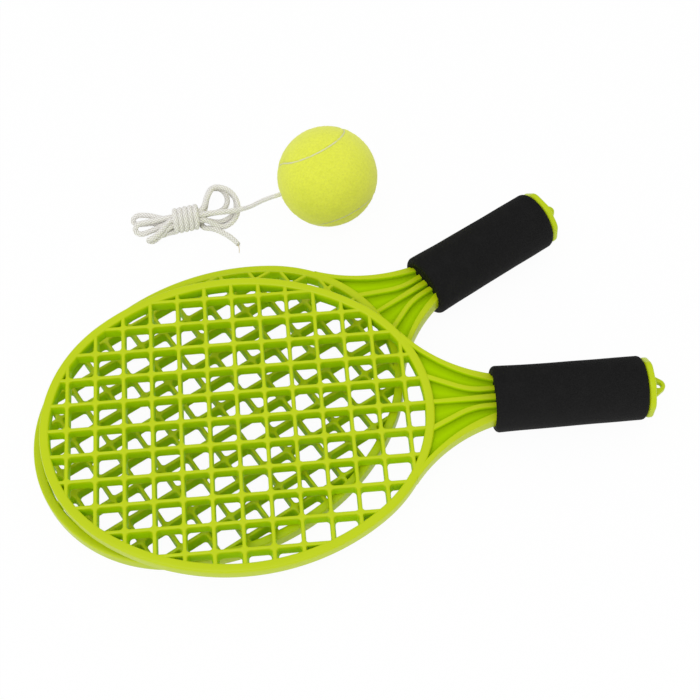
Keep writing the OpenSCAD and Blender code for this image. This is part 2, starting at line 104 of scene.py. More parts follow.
class BatSizes(bpy.types.PropertyGroup):
    head_length: size("Head length", 237, "Head from outside to outside, along the bat")
    arc_offset: size("Arc offset", 49, "Distance between the middles of the head's end arcs and side arcs")
    hoop_depth: size("Hoop depth", 9.4, "Thickness of the hoop, front face to back face")
    hoop_band: size("Hoop band", 5.8, "Width of the hoop's band, seen from above")
    cell_pitch: size("Cell pitch", 17, "Distance between neighbouring bars of the grid")
    bar_width: size("Bar width", 2.2, "Width of a grid bar at its front face")
    bar_depth: size("Bar depth", 8, "Depth of a grid bar")
    bar_sink: size("Bar sink", 0.3, "How far the bars lie below the hoop's front face")
    bar_draft: size("Bar draft", 0.3, "How much each side of a bar widens towards the back")
    bar_edge: size("Bar edge", 0.85, "Rounding of a bar's front edges")
    cell_corner: size("Cell corner", 2, "Rounding of the corners between bars")
    throat_length: size("Throat length", 35.4, "From the hoop's outer edge to the grip")
    throat_width: size("Throat width", 32, "Width of the throat where it enters the grip")
    flare_angle: angle("Flare angle", 15, "Angle at which the throat's outer edges leave the grip")
    edge_rib: size("Edge rib", 4.8, "Width of the two outer ribs at the grip")
    edge_rib_end: size("Edge rib end", 3.2, "Width of the two outer ribs at the hoop")
    middle_rib: size("Middle rib", 4.2, "Width of the middle rib at the grip")
    middle_rib_end: size("Middle rib end", 3, "Width of the middle rib at the hoop")
    inner_rib: size("Inner rib", 3.5, "Width of the two ribs beside the middle one")
    rib_spacing: size("Rib spacing", 5.8, "Distance of the inner ribs from the middle line, at the grip")
    rib_radius: size("Rib sweep", 41, "Radius of the bend in the inner ribs")
    rib_straight: size("Rib straight", 4, "Straight start of the inner ribs, before their bend")
    rib_bend: angle("Rib bend", 25, "How far the inner ribs bend outwards")
    rib_edge: size("Rib edge", 0.9, "Rounding of a rib's top edges")
    rib_sink: size("Rib sink", 0.5, "How far the inner ribs' ends lie below the hoop's front face")
    groove_depth: size("Groove depth", 4, "Depth of the grooves between the ribs")
    groove_foot: size("Groove foot", 1.2, "Rounding between a groove's floor and its walls")
    grip_d: size("Grip diameter", 39, "Outer diameter of the foam grip")
    grip_length: size("Grip length", 92, "Length of the foam grip")
    grip_lip: size("Grip lip", 3, "Rounding of the foam grip's ends")
    grip_flare: size("Grip flare", 0.8, "How much wider the foam grip is at its mouth")
    grip_mouth: size("Grip mouth", 1.7, "Rounding of the foam grip's inner edge")
    core_d: size("Core diameter", 29, "Diameter of the handle core under the foam")
    bore_d: size("Bore diameter", 21, "Bore of the handle core, which takes the end cap's plug")
    plug_length: size("Plug length", 22, "Length of the end cap's plug")
    flange_d: size("Flange width", 38, "Width of the eight-sided flange, corner to corner")
    flange_depth: size("Flange depth", 4.5, "Thickness of the flange")
    flange_corner: size("Flange corner", 3, "Rounding of the flange's eight corners")
    flange_edge: size("Flange edge", 1.6, "Rounding of the flange's rim")
    hang_reach: size("Hanging reach", 4.8, "Distance from the flange to the middle of the hanging hole")
    hang_hole: size("Hanging hole", 1.75, "Radius of the hanging hole")
    hang_wall: size("Hanging wall", 2.6, "Wall around the hanging hole")
    hang_depth: size("Hanging depth", 4, "Thickness of the hanging tab")
    hang_foot: size("Hanging foot", 10, "Half width of the hanging tab's foot")


class BallSizes(bpy.types.PropertyGroup):
    diameter: size("Diameter", 67.6, "Diameter of the ball")
    felt_depth: size("Felt depth", 3, "Thickness of the felt")
    seam_width: size("Seam width", 0.65, "Width of the seam between the felt panels")
    seam_recess: size("Seam recess", 0.3, "How far the seam lies below the felt")
    felt_edge: size("Felt edge", 1, "Width over which the felt rounds down to the seam")
    felt_drop: size("Felt drop", 0.5, "How far the felt's edge rounds down at the seam")
    nap: size("Nap", 0.16, "Height of the felt's unevenness")
    seam_turn: FloatVectorProperty(name="Seam turn", description="Turn of the seam's pattern in the set",
                                   default=[math.radians(a) for a in (1.6, 53.9, -53.8)], subtype="EULER")
    fibre_length: size("Fibre length", 1.5, "Length of the felt's loose fibres")
    fibre_width: size("Fibre width", 0.09, "Width of a loose fibre")
    fibre_count: number("Fibres", 5200, "Loose fibres on each felt panel", 0)


class CordSizes(bpy.types.PropertyGroup):
    diameter: size("Diameter", 2.8, "Diameter of the cord")
    yarns: number("Yarns each way", 6, "Braided yarns that wind each way", 3)
    yarn_step: size("Yarn step", 2.4, "Distance along the cord from one yarn to the next")
    relief: size("Relief", 0.36, "Height of the braid's yarns")
    fullness: size("Fullness", 0.55, "How far the slack yarns stand out past the cord's own diameter")
    ring_step: size("Ring step", 0.42, "Distance between the rings of the cord's mesh")
    fray_length: size("Fray length", 1.4, "Length of the loose filaments at the cut end")
    thread_length: size("Thread length", 6.5, "Length of the one long thread at the cut end")


class SetColours(bpy.types.PropertyGroup):
    lime: colour("Lime plastic", srgb(194, 213, 8), "Moulded plastic of the bats")
    # Painted light: the greener lime painted into hollows, in place of light bounced between the lime walls and
    # shone through them.
    lime_painted_hollow_light: colour("Lime hollows", srgb(181, 221, 0), "Plastic in hollows, lit through the walls")
    foam: colour("Foam", srgb(23, 23, 23), "Foam of the grips")
    felt: colour("Felt", srgb(234, 240, 78), "Felt of the ball")
    seam: colour("Seam", srgb(222, 222, 186), "Rubber seam of the ball")
    cord: colour("Cord", srgb(254, 253, 249), "Yarns of the cord")
    # Painted shade: the darker colour painted into the hollows between the yarns.
    cord_gap_painted_shade: colour("Cord gaps", srgb(204, 198, 186), "Hollows between the cord's yarns")
    thread: colour("Loose thread", srgb(214, 196, 142), "The loose thread at the cord's cut end")
    rubber: colour("Rubber", srgb(58, 57, 54), "Core of the ball")


class StageSettings(bpy.types.PropertyGroup):
    camera_at: spot("Camera", (-10.4, -542.15, 740.58), "Place of the camera")
    camera_aim: spot("Aim", (5.25, 3.17, 0), "Point on the floor in the picture's middle")
    camera_roll: angle("Roll", -3.98, "Turn of the camera about its own axis")
    lens: amount("Lens", 73.67, "Focal length", unit="CAMERA")
    sky: amount("Sky", 0.84, "Strength of the even white light from all round")
    sky_gloss: amount("Sky gloss", 0.12, "Strength of the dim ceiling that glossy faces mirror")
    key_power: amount("Key light", 6, "Power of the large lamp overhead", unit="POWER")
    key_at: spot("Key place", (-450, -750, 1500), "Place of the large lamp overhead")
    key_size: size("Key size", 1300, "Width of the large lamp")
    floor_white: amount("Floor white", 0.96, "Share of plain white in the floor that the camera sees",
                        min=0, max=1, subtype="FACTOR")


class PoleTennisSettings(bpy.types.PropertyGroup):
    bat: PointerProperty(type=BatSizes)
    ball: PointerProperty(type=BallSizes)
    cord: PointerProperty(type=CordSizes)
    colours: PointerProperty(type=SetColours)
    stage: PointerProperty(type=StageSettings)


def settings():
    return bpy.context.scene.pole_tennis


# Shader values and materials


class Value:
    """A node's output socket, used in plain arithmetic."""

    def __init__(self, shade, socket):
        self.shade = shade
        self.socket = socket

    def math(self, operation, first, second=0.0):
        return self.shade.add("ShaderNodeMath", {"operation": operation}, {0: first, 1: second})

    def __add__(self, other):
        return self.math("ADD", self, other)

    def __radd__(self, other):
        return self.math("ADD", other, self)

    def __sub__(self, other):
        return self.math("SUBTRACT", self, other)

    def __rsub__(self, other):
        return self.math("SUBTRACT", other, self)

    def __mul__(self, other):
        return self.math("MULTIPLY", self, other)

    def __rmul__(self, other):
        return self.math("MULTIPLY", other, self)

    def at_most(self, other):
        return self.math("MINIMUM", self, other)

    def at_least(self, other):
        return self.math("MAXIMUM", self, other)


class Shade:
    """A new material or world, with a method that adds any node to it."""

    def __init__(self, name, world=False):
        store = bpy.data.worlds if world else bpy.data.materials
        self.owner = store.new(name)
        self.owner.use_nodes = True
        self.tree = self.owner.node_tree
        self.tree.nodes.clear()

    def find(self, sockets, key):
        if isinstance(key, int):
            return sockets[key]
        for socket in sockets:
            if key in (socket.identifier, socket.name):
                return socket
        raise KeyError(key)

    def add(self, kind, options=None, inputs=None, output=0):
        node = self.tree.nodes.new(kind)
        for key, value in (options or {}).items():
            setattr(node, key, value)
        for key, value in (inputs or {}).items():
            socket = self.find(node.inputs, key)
            if isinstance(value, Value):
                self.tree.links.new(value.socket, socket)
            else:
                socket.default_value = value
        return Value(self, self.find(node.outputs, output)) if node.outputs else None

    def place(self):
        return self.add("ShaderNodeTexCoord", output="Object")

    def attribute(self, name):
        return self.add("ShaderNodeAttribute", {"attribute_name": name}, output="Fac")

    def noise(self, scale_mm, detail=2.0, roughness=0.5):
        """Noise whose features are about so many millimetres across."""
        return self.add("ShaderNodeTexNoise", {}, {
            "Vector": self.place(), "Scale": 1 / mm(scale_mm), "Detail": detail, "Roughness": roughness})

    def smooth(self, value, low, high):
        return self.add("ShaderNodeMapRange", {"interpolation_type": "SMOOTHSTEP"}, {
            "Value": value, "From Min": low, "From Max": high, "To Min": 0.0, "To Max": 1.0})

    def mix(self, factor, first, second):
        return self.add("ShaderNodeMix", {"data_type": "RGBA"}, {
            "Factor_Float": factor, "A_Color": first, "B_Color": second}, "Result_Color")

    def bump(self, height, depth_mm):
        return self.add("ShaderNodeBump", {}, {"Strength": 1.0, "Distance": mm(depth_mm), "Height": height})

    def finish(self, **inputs):
        sockets = {key.replace("_", " "): value for key, value in inputs.items()}
        surface = self.add("ShaderNodeBsdfPrincipled", {}, sockets)
        self.add("ShaderNodeOutputMaterial", {}, {"Surface": surface})
        return self.owner


BLACK = (0, 0, 0)
WHITE = (1, 1, 1)


def tint(linear, gain=1.0):
    """A colour socket's value: a linear colour, made lighter or darker."""
    return (*[min(1.0, channel * gain) for channel in linear], 1.0)


def lime_plastic():
    """Satin moulded plastic with faint flow marks, paler on rubbed edges.

    The hollow attribute is 0 in the open and 1 in hollows, which are painted a greener lime as painted light, in
    place of light bounced between the lime walls and shone through them; it is more than 1 in grooves, which are
    also painted darker as painted shade. The coat fades out where the attribute is high.
    """
    shade = Shade("lime_plastic")
    lime = settings().colours.lime
    rubbed = tint((0.6, 0.7, 0.05))
    foot_shade = 0.52
    coat_fade = 2.2
    coat_share = 0.58
    flow = shade.noise(38, detail=3, roughness=0.55)
    grain = shade.noise(0.9, roughness=0.6)
    scuffs = shade.smooth(shade.noise(5, detail=3, roughness=0.6), 0.6, 0.8)
    edges = shade.smooth(shade.add("ShaderNodeNewGeometry", output="Pointiness"), 0.515, 0.6)
    hollow = shade.attribute("hollow")
    body = shade.mix(flow, tint(lime, 0.95), tint(lime, 1.04))
    # Painted light: up to 1 the attribute mixes in the greener colour painted into hollows.
    hollow_painted_light = shade.mix(hollow.at_most(1.0), body, tint(settings().colours.lime_painted_hollow_light))
    # Painted shade: past 1 the colour is mixed towards black.
    shaded = shade.mix((hollow - 1).at_least(0.0) * foot_shade, hollow_painted_light, tint(BLACK))
    worn = shade.mix(edges * 0.1 + scuffs * 0.04, shaded, rubbed)
    height = grain * 0.35 + flow * 0.5 + scuffs * 0.1
    return shade.finish(
        Base_Color=worn,
        Roughness=0.4 + flow * 0.08 + grain * 0.06 + scuffs * 0.08,
        Normal=shade.bump(height, 0.05),
        Specular_IOR_Level=0.02,
        Coat_Weight=(1 - hollow * coat_fade).at_least(0.0) * coat_share,
        Coat_Roughness=0.32)


def grip_foam():
    """Matt closed-cell foam: fine cut cells with a soft, uneven skin."""
    shade = Shade("grip_foam")
    foam = settings().colours.foam
    dust = tint((0.03, 0.03, 0.029))
    cell_mm = 0.75
    cells = shade.add("ShaderNodeTexVoronoi", {"feature": "F1"},
                      {"Vector": shade.place(), "Scale": 1 / mm(cell_mm)}, "Distance")
    skin = shade.noise(9, detail=4, roughness=0.6)
    speck = shade.noise(0.5, roughness=0.6)
    dark = shade.mix(shade.smooth(cells, 0.1, 0.75), tint(foam, 0.75), tint(foam, 1.2))
    dusty = shade.mix(shade.smooth(skin, 0.45, 0.8) * 0.12, dark, dust)
    height = cells * 0.6 + speck * 0.4 + skin * 0.25
    return shade.finish(
        Base_Color=dusty,
        Roughness=0.8 + skin * 0.15,
        Normal=shade.bump(height, 0.14),
        Specular_IOR_Level=0.25)


def ball_felt():
    """Woolly felt: matted fibres in light and dark flecks."""
    shade = Shade("ball_felt")
    felt = settings().colours.felt
    pale = tint((0.86, 0.88, 0.17))
    green = tint((0.68, 0.74, 0.05))
    tufts = shade.noise(1.5, detail=5, roughness=0.7)
    fibres = shade.noise(0.55, detail=3, roughness=0.7)
    patches = shade.noise(17, detail=3)
    matted = shade.mix(shade.smooth(tufts, 0.3, 0.7), tint(felt, 0.9), tint(felt, 1.04))
    flecked = shade.mix(shade.smooth(fibres, 0.5, 0.75) * 0.4, matted, pale)
    aged = shade.mix(shade.smooth(patches, 0.4, 0.75) * 0.25, flecked, green)
    return shade.finish(
        Base_Color=aged,
        Roughness=0.9 + fibres * 0.1,
        Normal=shade.bump(tufts * 0.7 + fibres * 0.5, 0.3),
        Specular_IOR_Level=0.15,
        Sheen_Weight=0.5,
        Sheen_Roughness=0.5,
        Sheen_Tint=tint((0.95, 0.97, 0.55)))


def felt_fibre():
    """Single woollen fibres that stand off the felt."""
    shade = Shade("felt_fibre")
    pale = tint((0.88, 0.9, 0.24))
    strands = shade.noise(1.1)
    return shade.finish(
        Base_Color=shade.mix(strands, tint(settings().colours.felt, 0.92), pale),
        Roughness=0.85 + strands * 0.1,
        Specular_IOR_Level=0.2)


def seam_rubber():
    """Pale rubber seam, a little dusty with felt."""
    shade = Shade("seam_rubber")
    colours = settings().colours
    dust = shade.noise(1.3, detail=3, roughness=0.65)
    return shade.finish(
        Base_Color=shade.mix(shade.smooth(dust, 0.47, 0.62) * 0.8, tint(colours.seam), tint(colours.felt)),
        Roughness=0.6 + dust * 0.25,
        Normal=shade.bump(dust, 0.2))


def cord_braid():
    """Off-white braided cord: pale yarns, with painted shade that darkens the hollows between them, and fine
    filaments.
    """
    shade = Shade("cord_braid")
    colours = settings().colours
    filaments = 5
    yarn = shade.attribute("yarn_height")
    across = shade.attribute("filament") * (2 * math.pi * filaments)
    lines = shade.add("ShaderNodeMath", {"operation": "SINE"}, {0: across}) * 0.5 + 0.5
    soil = shade.noise(11, detail=4, roughness=0.6)
    # Painted shade: low yarn heights, the hollows between the yarns, are painted the darker gap colour.
    body = shade.mix(shade.smooth(yarn, 0.2, 0.8), tint(colours.cord_gap_painted_shade), tint(colours.cord))
    soiled = shade.mix(shade.smooth(soil, 0.45, 0.8) * 0.3, body, tint(colours.cord, 0.86))
    return shade.finish(
        Base_Color=soiled,
        Roughness=0.62 + soil * 0.2,
        Normal=shade.bump(lines * 0.5 + yarn, 0.08),
        Specular_IOR_Level=0.35,
        Sheen_Weight=0.15,
        Sheen_Roughness=0.5)


def loose_thread():
    """The thin thread that hangs out of the cord's cut end."""
    shade = Shade("loose_thread")
    thread = settings().colours.thread
    twist = shade.noise(0.8)
    return shade.finish(
        Base_Color=shade.mix(twist, tint(thread, 0.85), tint(thread, 1.1)),
        Roughness=0.7 + twist * 0.2)


def core_rubber():
    """Dark moulded rubber of the ball's core."""
    shade = Shade("core_rubber")
    rubber = settings().colours.rubber
    bloom = shade.noise(7, detail=4, roughness=0.6)
    return shade.finish(
        Base_Color=shade.mix(bloom, tint(rubber, 0.8), tint(rubber, 1.25)),
        Roughness=0.62 + bloom * 0.2,
        Normal=shade.bump(shade.noise(1.2, detail=3), 0.1))


def material(maker):
    """The material that a function makes, made once, beside the frame's own plain one."""
    name = maker.__name__ + "_finish"
    made = bpy.data.materials.get(name) or maker()
    made.name = name
    return made


# Shapes


def superellipse(turn, half_width, half_height, power):
    """A point on a rounded box, squarer for a higher power."""
    across, along = math.cos(turn), math.sin(turn)
    return (math.copysign(abs(across) ** (2 / power), across) * half_width,
            math.copysign(abs(along) ** (2 / power), along) * half_height)


def ring(bm, segments, shape):
    """A closed loop of edges whose points come from a function of the angle round it."""
    made = bmesh.ops.create_circle(bm, segments=segments, radius=1)
    verts = made["verts"]
    for vert in verts:
        vert.co = shape(math.atan2(vert.co.y, vert.co.x))
    return verts + list({edge for vert in verts for edge in vert.link_edges})


def spin_on(bm, geom, centre, sweep, steps, axis=UP):
    """Carries an edge loop round an axis and gives back its last place."""
    made = bmesh.ops.spin(bm, geom=geom, cent=centre, axis=axis, angle=sweep, steps=steps)
    return made["geom_last"]


def sheet(bm, rows, columns, shape):
    """A grid of faces whose points come from a function of u and v, each from 0 to 1."""
    made = bmesh.ops.create_grid(bm, x_segments=rows, y_segments=columns, size=0.5)
    for vert in made["verts"]:
        vert.co = shape(vert.co.x + 0.5, vert.co.y + 0.5)
    return made["verts"]


def merge(bm, distance_mm=0.004):
    bmesh.ops.remove_doubles(bm, verts=bm.verts[:], dist=mm(distance_mm))


def close_ends(bm):
    open_edges = [edge for edge in bm.edges if edge.is_boundary]
    bmesh.ops.holes_fill(bm, edges=open_edges, sides=0)


def round_edges(bm, edges, radius, segments):
    bmesh.ops.bevel(bm, geom=edges, offset=radius, offset_type="OFFSET", affect="EDGES", segments=segments,
                    profile=0.5, clamp_overlap=False, material=-1)


def cut(bm, point, normal):
    """Cuts every face that a plane crosses."""
    geom = bm.verts[:] + bm.edges[:] + bm.faces[:]
    bmesh.ops.bisect_plane(bm, geom=geom, plane_co=point, plane_no=normal)


def points_in(geom):
    return [item for item in geom if isinstance(item, bmesh.types.BMVert)]


def edges_in(geom):
    return [item for item in geom if isinstance(item, bmesh.types.BMEdge)]


def add_back(bm, faces):
    """Copies faces as a plate's back, joined to its front round the edges, and gives the back's points."""
    copy = bmesh.ops.extrude_face_region(bm, geom=faces, use_keep_orig=True)
    return points_in(copy["geom"])


def turn_outline(bm, outline, steps):
    """Carries an outline of stations and radii round the handle's middle line."""
    verts = [bm.verts.new((x, 0, radius)) for x, radius in outline]
    edges = [bm.edges.new(pair) for pair in zip(verts, verts[1:])]
    bmesh.ops.spin(bm, geom=verts + edges, cent=(0, 0, 0), axis=(1, 0, 0), angle=2 * math.pi, steps=steps,
                   use_merge=True)
    merge(bm)


def make_piece(bm, name, maker, body, replaced=(), place=None, sharp=40, rests=False):
    """Puts a finished mesh in its place in the set, with its material and its body, and hides the solids it stands
    for.

    Edges are sharp from so many degrees, and a piece that rests is flat where it lies on the floor.
    """
    if place is not None:
        bmesh.ops.transform(bm, matrix=place, verts=bm.verts[:])
    if rests:
        for vert in bm.verts:
            vert.co.z = max(vert.co.z, 0.0)
    bmesh.ops.recalc_face_normals(bm, faces=bm.faces[:])
    limit = math.radians(sharp)
    for face in bm.faces:
        face.smooth = True
    for edge in bm.edges:
        edge.smooth = not edge.is_manifold or edge.calc_face_angle(0) < limit
    mesh = bpy.data.meshes.new(name)
    bm.to_mesh(mesh)
    bm.free()
    piece = bpy.data.objects.new(name, mesh)
    bpy.context.scene.collection.objects.link(piece)
    mesh.materials.append(material(maker))
    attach(piece, body)
    if replaced:
        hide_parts(*replaced)
    return piece


def clothe(node, maker):
    """Gives a CAD node its finish."""
    solid = frame["nodes"][node]
    solid.data.materials.clear()
    solid.data.materials.append(material(maker))


# Bats


def bat_place(side):
    """The bat's own frame: X along the handle, Z out of the front face, origin at the head's middle."""
    low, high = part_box(side + "_hoop")
    middle = (low + high) / 2
    hole = next(m for m in frame["record"]["mounts"] if m["name"] == side + "_hanging_hole")
    out = Vector(hole["axis"]).normalized()
    along = (Vector(hole["pos_m"]) - middle).normalized()
    across = out.cross(along).normalized()
    along = across.cross(out)
    return Matrix.Translation(middle) @ Matrix((along, across, out)).transposed().to_4x4()


# Direction in which an end arc meets a side arc, as the cosine and sine of its angle.
MEET_COS = 0.6
MEET_SIN = 0.8


class Bat:
    """Lengths of the bat that follow from its sizes."""

    def __init__(self):
        s = settings().bat
        self.s = s
        self.half_length = s.head_length / 2
        self.end_x = MEET_COS * s.arc_offset
        self.side_y = MEET_SIN * s.arc_offset
        self.end_radius = self.half_length - self.end_x
        self.side_radius = self.end_radius + s.arc_offset
        self.half_width = self.side_radius - self.side_y
        self.end_angle = math.atan2(MEET_SIN, MEET_COS)
        self.half_depth = s.hoop_depth / 2
        self.grip_start = self.half_length + s.throat_length
        self.grip_end = self.grip_start + s.grip_length
        self.flange_end = self.grip_end + s.flange_depth
        self.hang_x = self.flange_end + s.hang_reach
        reach = self.grip_start - self.end_x
        half = s.throat_width / 2
        lean = reach * math.sin(s.flare_angle) + half * math.cos(s.flare_angle)
        spare = reach ** 2 + half ** 2 - self.end_radius ** 2
        self.flare_radius = spare / (2 * (self.end_radius - lean))
        self.flare_x = self.grip_start + self.flare_radius * math.sin(s.flare_angle)
        self.flare_y = half + self.flare_radius * math.cos(s.flare_angle)
        away = self.end_radius / (self.end_radius + self.flare_radius)
        self.flare_end = self.end_x + (self.flare_x - self.end_x) * away

    def carry_round(self, bm, geom, end_steps, side_steps):
        """Carries a profile, set at the start of the right end arc, round the whole oval."""
        side_sweep = math.pi - 2 * self.end_angle
        for centre, sweep, steps in (
                ((self.end_x, 0, 0), 2 * self.end_angle, end_steps),
                ((0, -self.side_y, 0), side_sweep, side_steps),
                ((-self.end_x, 0, 0), 2 * self.end_angle, end_steps),
                ((0, self.side_y, 0), side_sweep, side_steps)):
            geom = spin_on(bm, geom, centre, sweep, steps)
        merge(bm)

    def start(self, outward, up=0.0):
        """A point at the start of the right end arc, so far out from the arc's middle."""
        x = self.end_x + outward * math.cos(self.end_angle)
        return Vector((x, -outward * math.sin(self.end_angle), up))

    def inset_of(self, p):
        """How far a point of the head's plane lies inside its outer edge."""
        x, y = abs(p.x), abs(p.y)
        if (x - self.end_x) * self.side_y > y * self.end_x:
            return self.end_radius - math.hypot(x - self.end_x, y)
        return self.side_radius - math.hypot(x, y + self.side_y)

    def mark_hollows(self, bm, depth_of):
        """Notes on each point, from 0 to 1, how far it is painted with the hollows' painted light and shade."""
        layer = bm.verts.layers.float.new("hollow")
        for vert in bm.verts:
            vert[layer] = min(1.0, max(0.0, depth_of(vert.co)))

    def flare_at(self, x):
        """Half width of the throat at a station, and the slope of its edge there."""
        along = self.flare_x - x
        drop = math.sqrt(self.flare_radius ** 2 - along ** 2)
        return self.flare_y - drop, along / drop

    def rib_at(self, x):
        """Distance of an inner rib from the bat's middle line at a station, and its slope there."""
        s = self.s
        along = max(0.0, self.grip_start - s.rib_straight - x)
        bend_end = s.rib_radius * math.sin(s.rib_bend)
        bent = min(along, bend_end)
        drop = math.sqrt(s.rib_radius ** 2 - bent ** 2)
        slope = bent / drop
        return s.rib_spacing + s.rib_radius - drop + (along - bent) * slope, slope


HOOP_POWER = 5
HOOP_RING = 36
HOOP_STEPS = (56, 52)
# Share of the hoop's band past which a point is on its inner wall.
INNER_WALL = 0.9
# Depth under the front face, and over the back face, at which a wall is painted fully with the hollows' painted
# light.
HOLLOW_FRONT = mm(2.8)
HOLLOW_BACK = mm(1)


def hoop(bat):
    """The head's rim: a rounded band carried round the oval."""
    bm = bmesh.new()
    band = bat.s.hoop_band / 2

    def profile(turn):
        out, up = superellipse(turn, band, bat.half_depth, HOOP_POWER)
        return bat.start(bat.end_radius - band + out, up)

    bat.carry_round(bm, ring(bm, HOOP_RING, profile), *HOOP_STEPS)

    # The hoop's inner wall gets the hollows' painted light, fading out towards its front and back edges.
    def depth_of(p):
        if bat.inset_of(p) < bat.s.hoop_band * INNER_WALL:
            return 0.0
        return min((bat.half_depth - p.z) / HOLLOW_FRONT, (bat.half_depth + p.z) / HOLLOW_BACK)

    bat.mark_hollows(bm, depth_of)
    return bm


GRID_STEPS = (50, 44)
GRID_BURIED = mm(0.75)
# Points of the outline closer together than this many corner roundings are joined up.
CROWDED = 1.2
SMALLEST_OPENING = mm(0.45)
MOST_DRAFT = 0.4
CORNER_ANGLE = math.radians(30)
# A corner takes the first of these shares of the full rounding that fits in its share of the room.
CORNER_SHARES = (1, 0.6, 0.35, 0.15)
CORNER_ROOM = 0.45
CORNER_STEPS = 4
LIP_ANGLE = 0.6
LIP_STEPS = 3
SLIGHT = mm(0.01)


def grid_plate(bat, bm):
    """An oval plate, cut along the middle lines of both sets of bars."""
    s = bat.s
    outline = bat.end_radius - s.hoop_band + GRID_BURIED + s.bar_width / 2
    bat.carry_round(bm, [bm.verts.new(bat.start(outline))], *GRID_STEPS)
    bmesh.ops.contextual_create(bm, geom=bm.edges[:])
    for normal, half in ((Vector((1, 0, 0)), bat.half_length), (Vector((0, 1, 0)), bat.half_width)):
        bars = int((half - s.hoop_band - s.bar_width) / s.cell_pitch)
        for i in range(-bars, bars + 1):
            cut(bm, normal * (i * s.cell_pitch), normal)
    crowded = [v for v in bm.verts if len(v.link_edges) == 2
               and min(e.calc_length() for e in v.link_edges) < s.cell_corner * CROWDED]
    bmesh.ops.dissolve_verts(bm, verts=crowded)


def open_cells(bat, bm):
    """Opens each cell of the plate, gives the bars their depth and widens them towards the back."""
    s = bat.s
    half_bar = s.bar_width / 2
    cells = [f for f in bm.faces if 2 * f.calc_area() / f.calc_perimeter() > half_bar + SMALLEST_OPENING]
    bmesh.ops.inset_individual(bm, faces=cells, thickness=half_bar, use_even_offset=True)
    middles = [f.calc_center_median() for f in cells]
    bm.verts.index_update()
    members = [[v.index for v in f.verts] for f in cells]
    bmesh.ops.delete(bm, geom=cells, context="FACES_ONLY")
    bm.verts.ensure_lookup_table()
    loops = [[bm.verts[i] for i in member] for member in members]
    front = bm.verts[:]
    back = add_back(bm, bm.faces[:])
    bmesh.ops.translate(bm, verts=back, vec=(0, 0, -s.bar_depth))
    back_of = {}
    back_set = set(back)
    for vert in front:
        for edge in vert.link_edges:
            other = edge.other_vert(vert)
            if other in back_set:
                back_of[vert] = other
    for loop, middle in zip(loops, middles):
        reach = min((v.co - middle).length for v in loop)
        factor = 1 - min(MOST_DRAFT, s.bar_draft / reach)
        bmesh.ops.scale(bm, vec=(factor, factor, 1), space=Matrix.Translation(-middle),
                        verts=[back_of[v] for v in loop if v in back_of])


def round_corners(bat, bm):
    """Rounds the upright corners of the cells, each as far as it has room."""
    s = bat.s
    upright = [e for e in bm.edges if abs(e.verts[0].co.z - e.verts[1].co.z) > s.bar_depth / 2]
    corners = [e for e in upright if e.calc_face_angle(0) > CORNER_ANGLE
               and bat.inset_of(e.verts[0].co) > s.hoop_band]
    room = {e: min(side.calc_length() for face in e.link_faces for side in face.edges
                   if side is not e and any(v in e.verts for v in side.verts)) for e in corners}
    radii = [s.cell_corner * share for share in CORNER_SHARES]
    groups = [[] for _ in radii]
    for edge in corners:
        fits = [k for k, radius in enumerate(radii) if radius < room[edge] * CORNER_ROOM]
        groups[fits[0] if fits else -1].append(edge)
    for group, radius in zip(groups, radii):
        round_edges(bm, [e for e in group if e.is_valid], radius, CORNER_STEPS)


def string_grid(bat):
    """The moulded grid: a plate with open cells, rounded corners and rounded front edges."""
    s = bat.s
    bm = bmesh.new()
    grid_plate(bat, bm)
    outside = {e for e in bm.edges if e.is_boundary}
    open_cells(bat, bm)
    round_corners(bat, bm)
    lips = [e for e in bm.edges if min(v.co.z for v in e.verts) > -SLIGHT and e.calc_face_angle(0) > LIP_ANGLE
            and e not in outside and max(bat.inset_of(v.co) for v in e.verts) > s.hoop_band]
    round_edges(bm, lips, s.bar_edge, LIP_STEPS)
    top = bat.half_depth - s.bar_sink
    bottom = top - s.bar_depth
    bmesh.ops.translate(bm, verts=bm.verts[:], vec=(0, 0, top))
    # The bars' walls get the hollows' painted light, in full from these depths below the front face and above the
    # back face; the cuts put points there.
    for height in (top - HOLLOW_FRONT, bottom + HOLLOW_BACK):
        cut(bm, (0, 0, height), UP)
    bat.mark_hollows(bm, lambda p: min((top - p.z) / HOLLOW_FRONT, (p.z - bottom) / HOLLOW_BACK))
    return bm


ARC_STEPS = 4
THROAT_ROWS = 40
THROAT_TUCK = mm(4)
# A groove's foot is rounded over at most this share of the groove's width.
FOOT_SHARE = 0.45
# Values of the hollow attribute in the middle of a groove, at its foot and on its walls; they are over 1, so these
# places are painted darker as painted shade besides the hollows' painted light.
FLOOR_PAINTED_SHADE = 1.12
FOOT_PAINTED_SHADE = 1.4
WALL_PAINTED_SHADE = 1.65
HALVINGS = 30


def arc(centre, radius, start, end):
    """Points round a quarter circle, from one angle to another in degrees."""
    turns = [math.radians(start + (end - start) * i / ARC_STEPS) for i in range(ARC_STEPS + 1)]
    return [(centre[0] + radius * math.cos(t), centre[1] + radius * math.sin(t)) for t in turns]


def marked(points, first, last):
    """Points with the amount of painted light and shade that each gets in its groove, from one value to another.
    """
    steps = len(points) - 1
    return [(y, z, first + (last - first) * i / steps) for i, (y, z) in enumerate(points)]


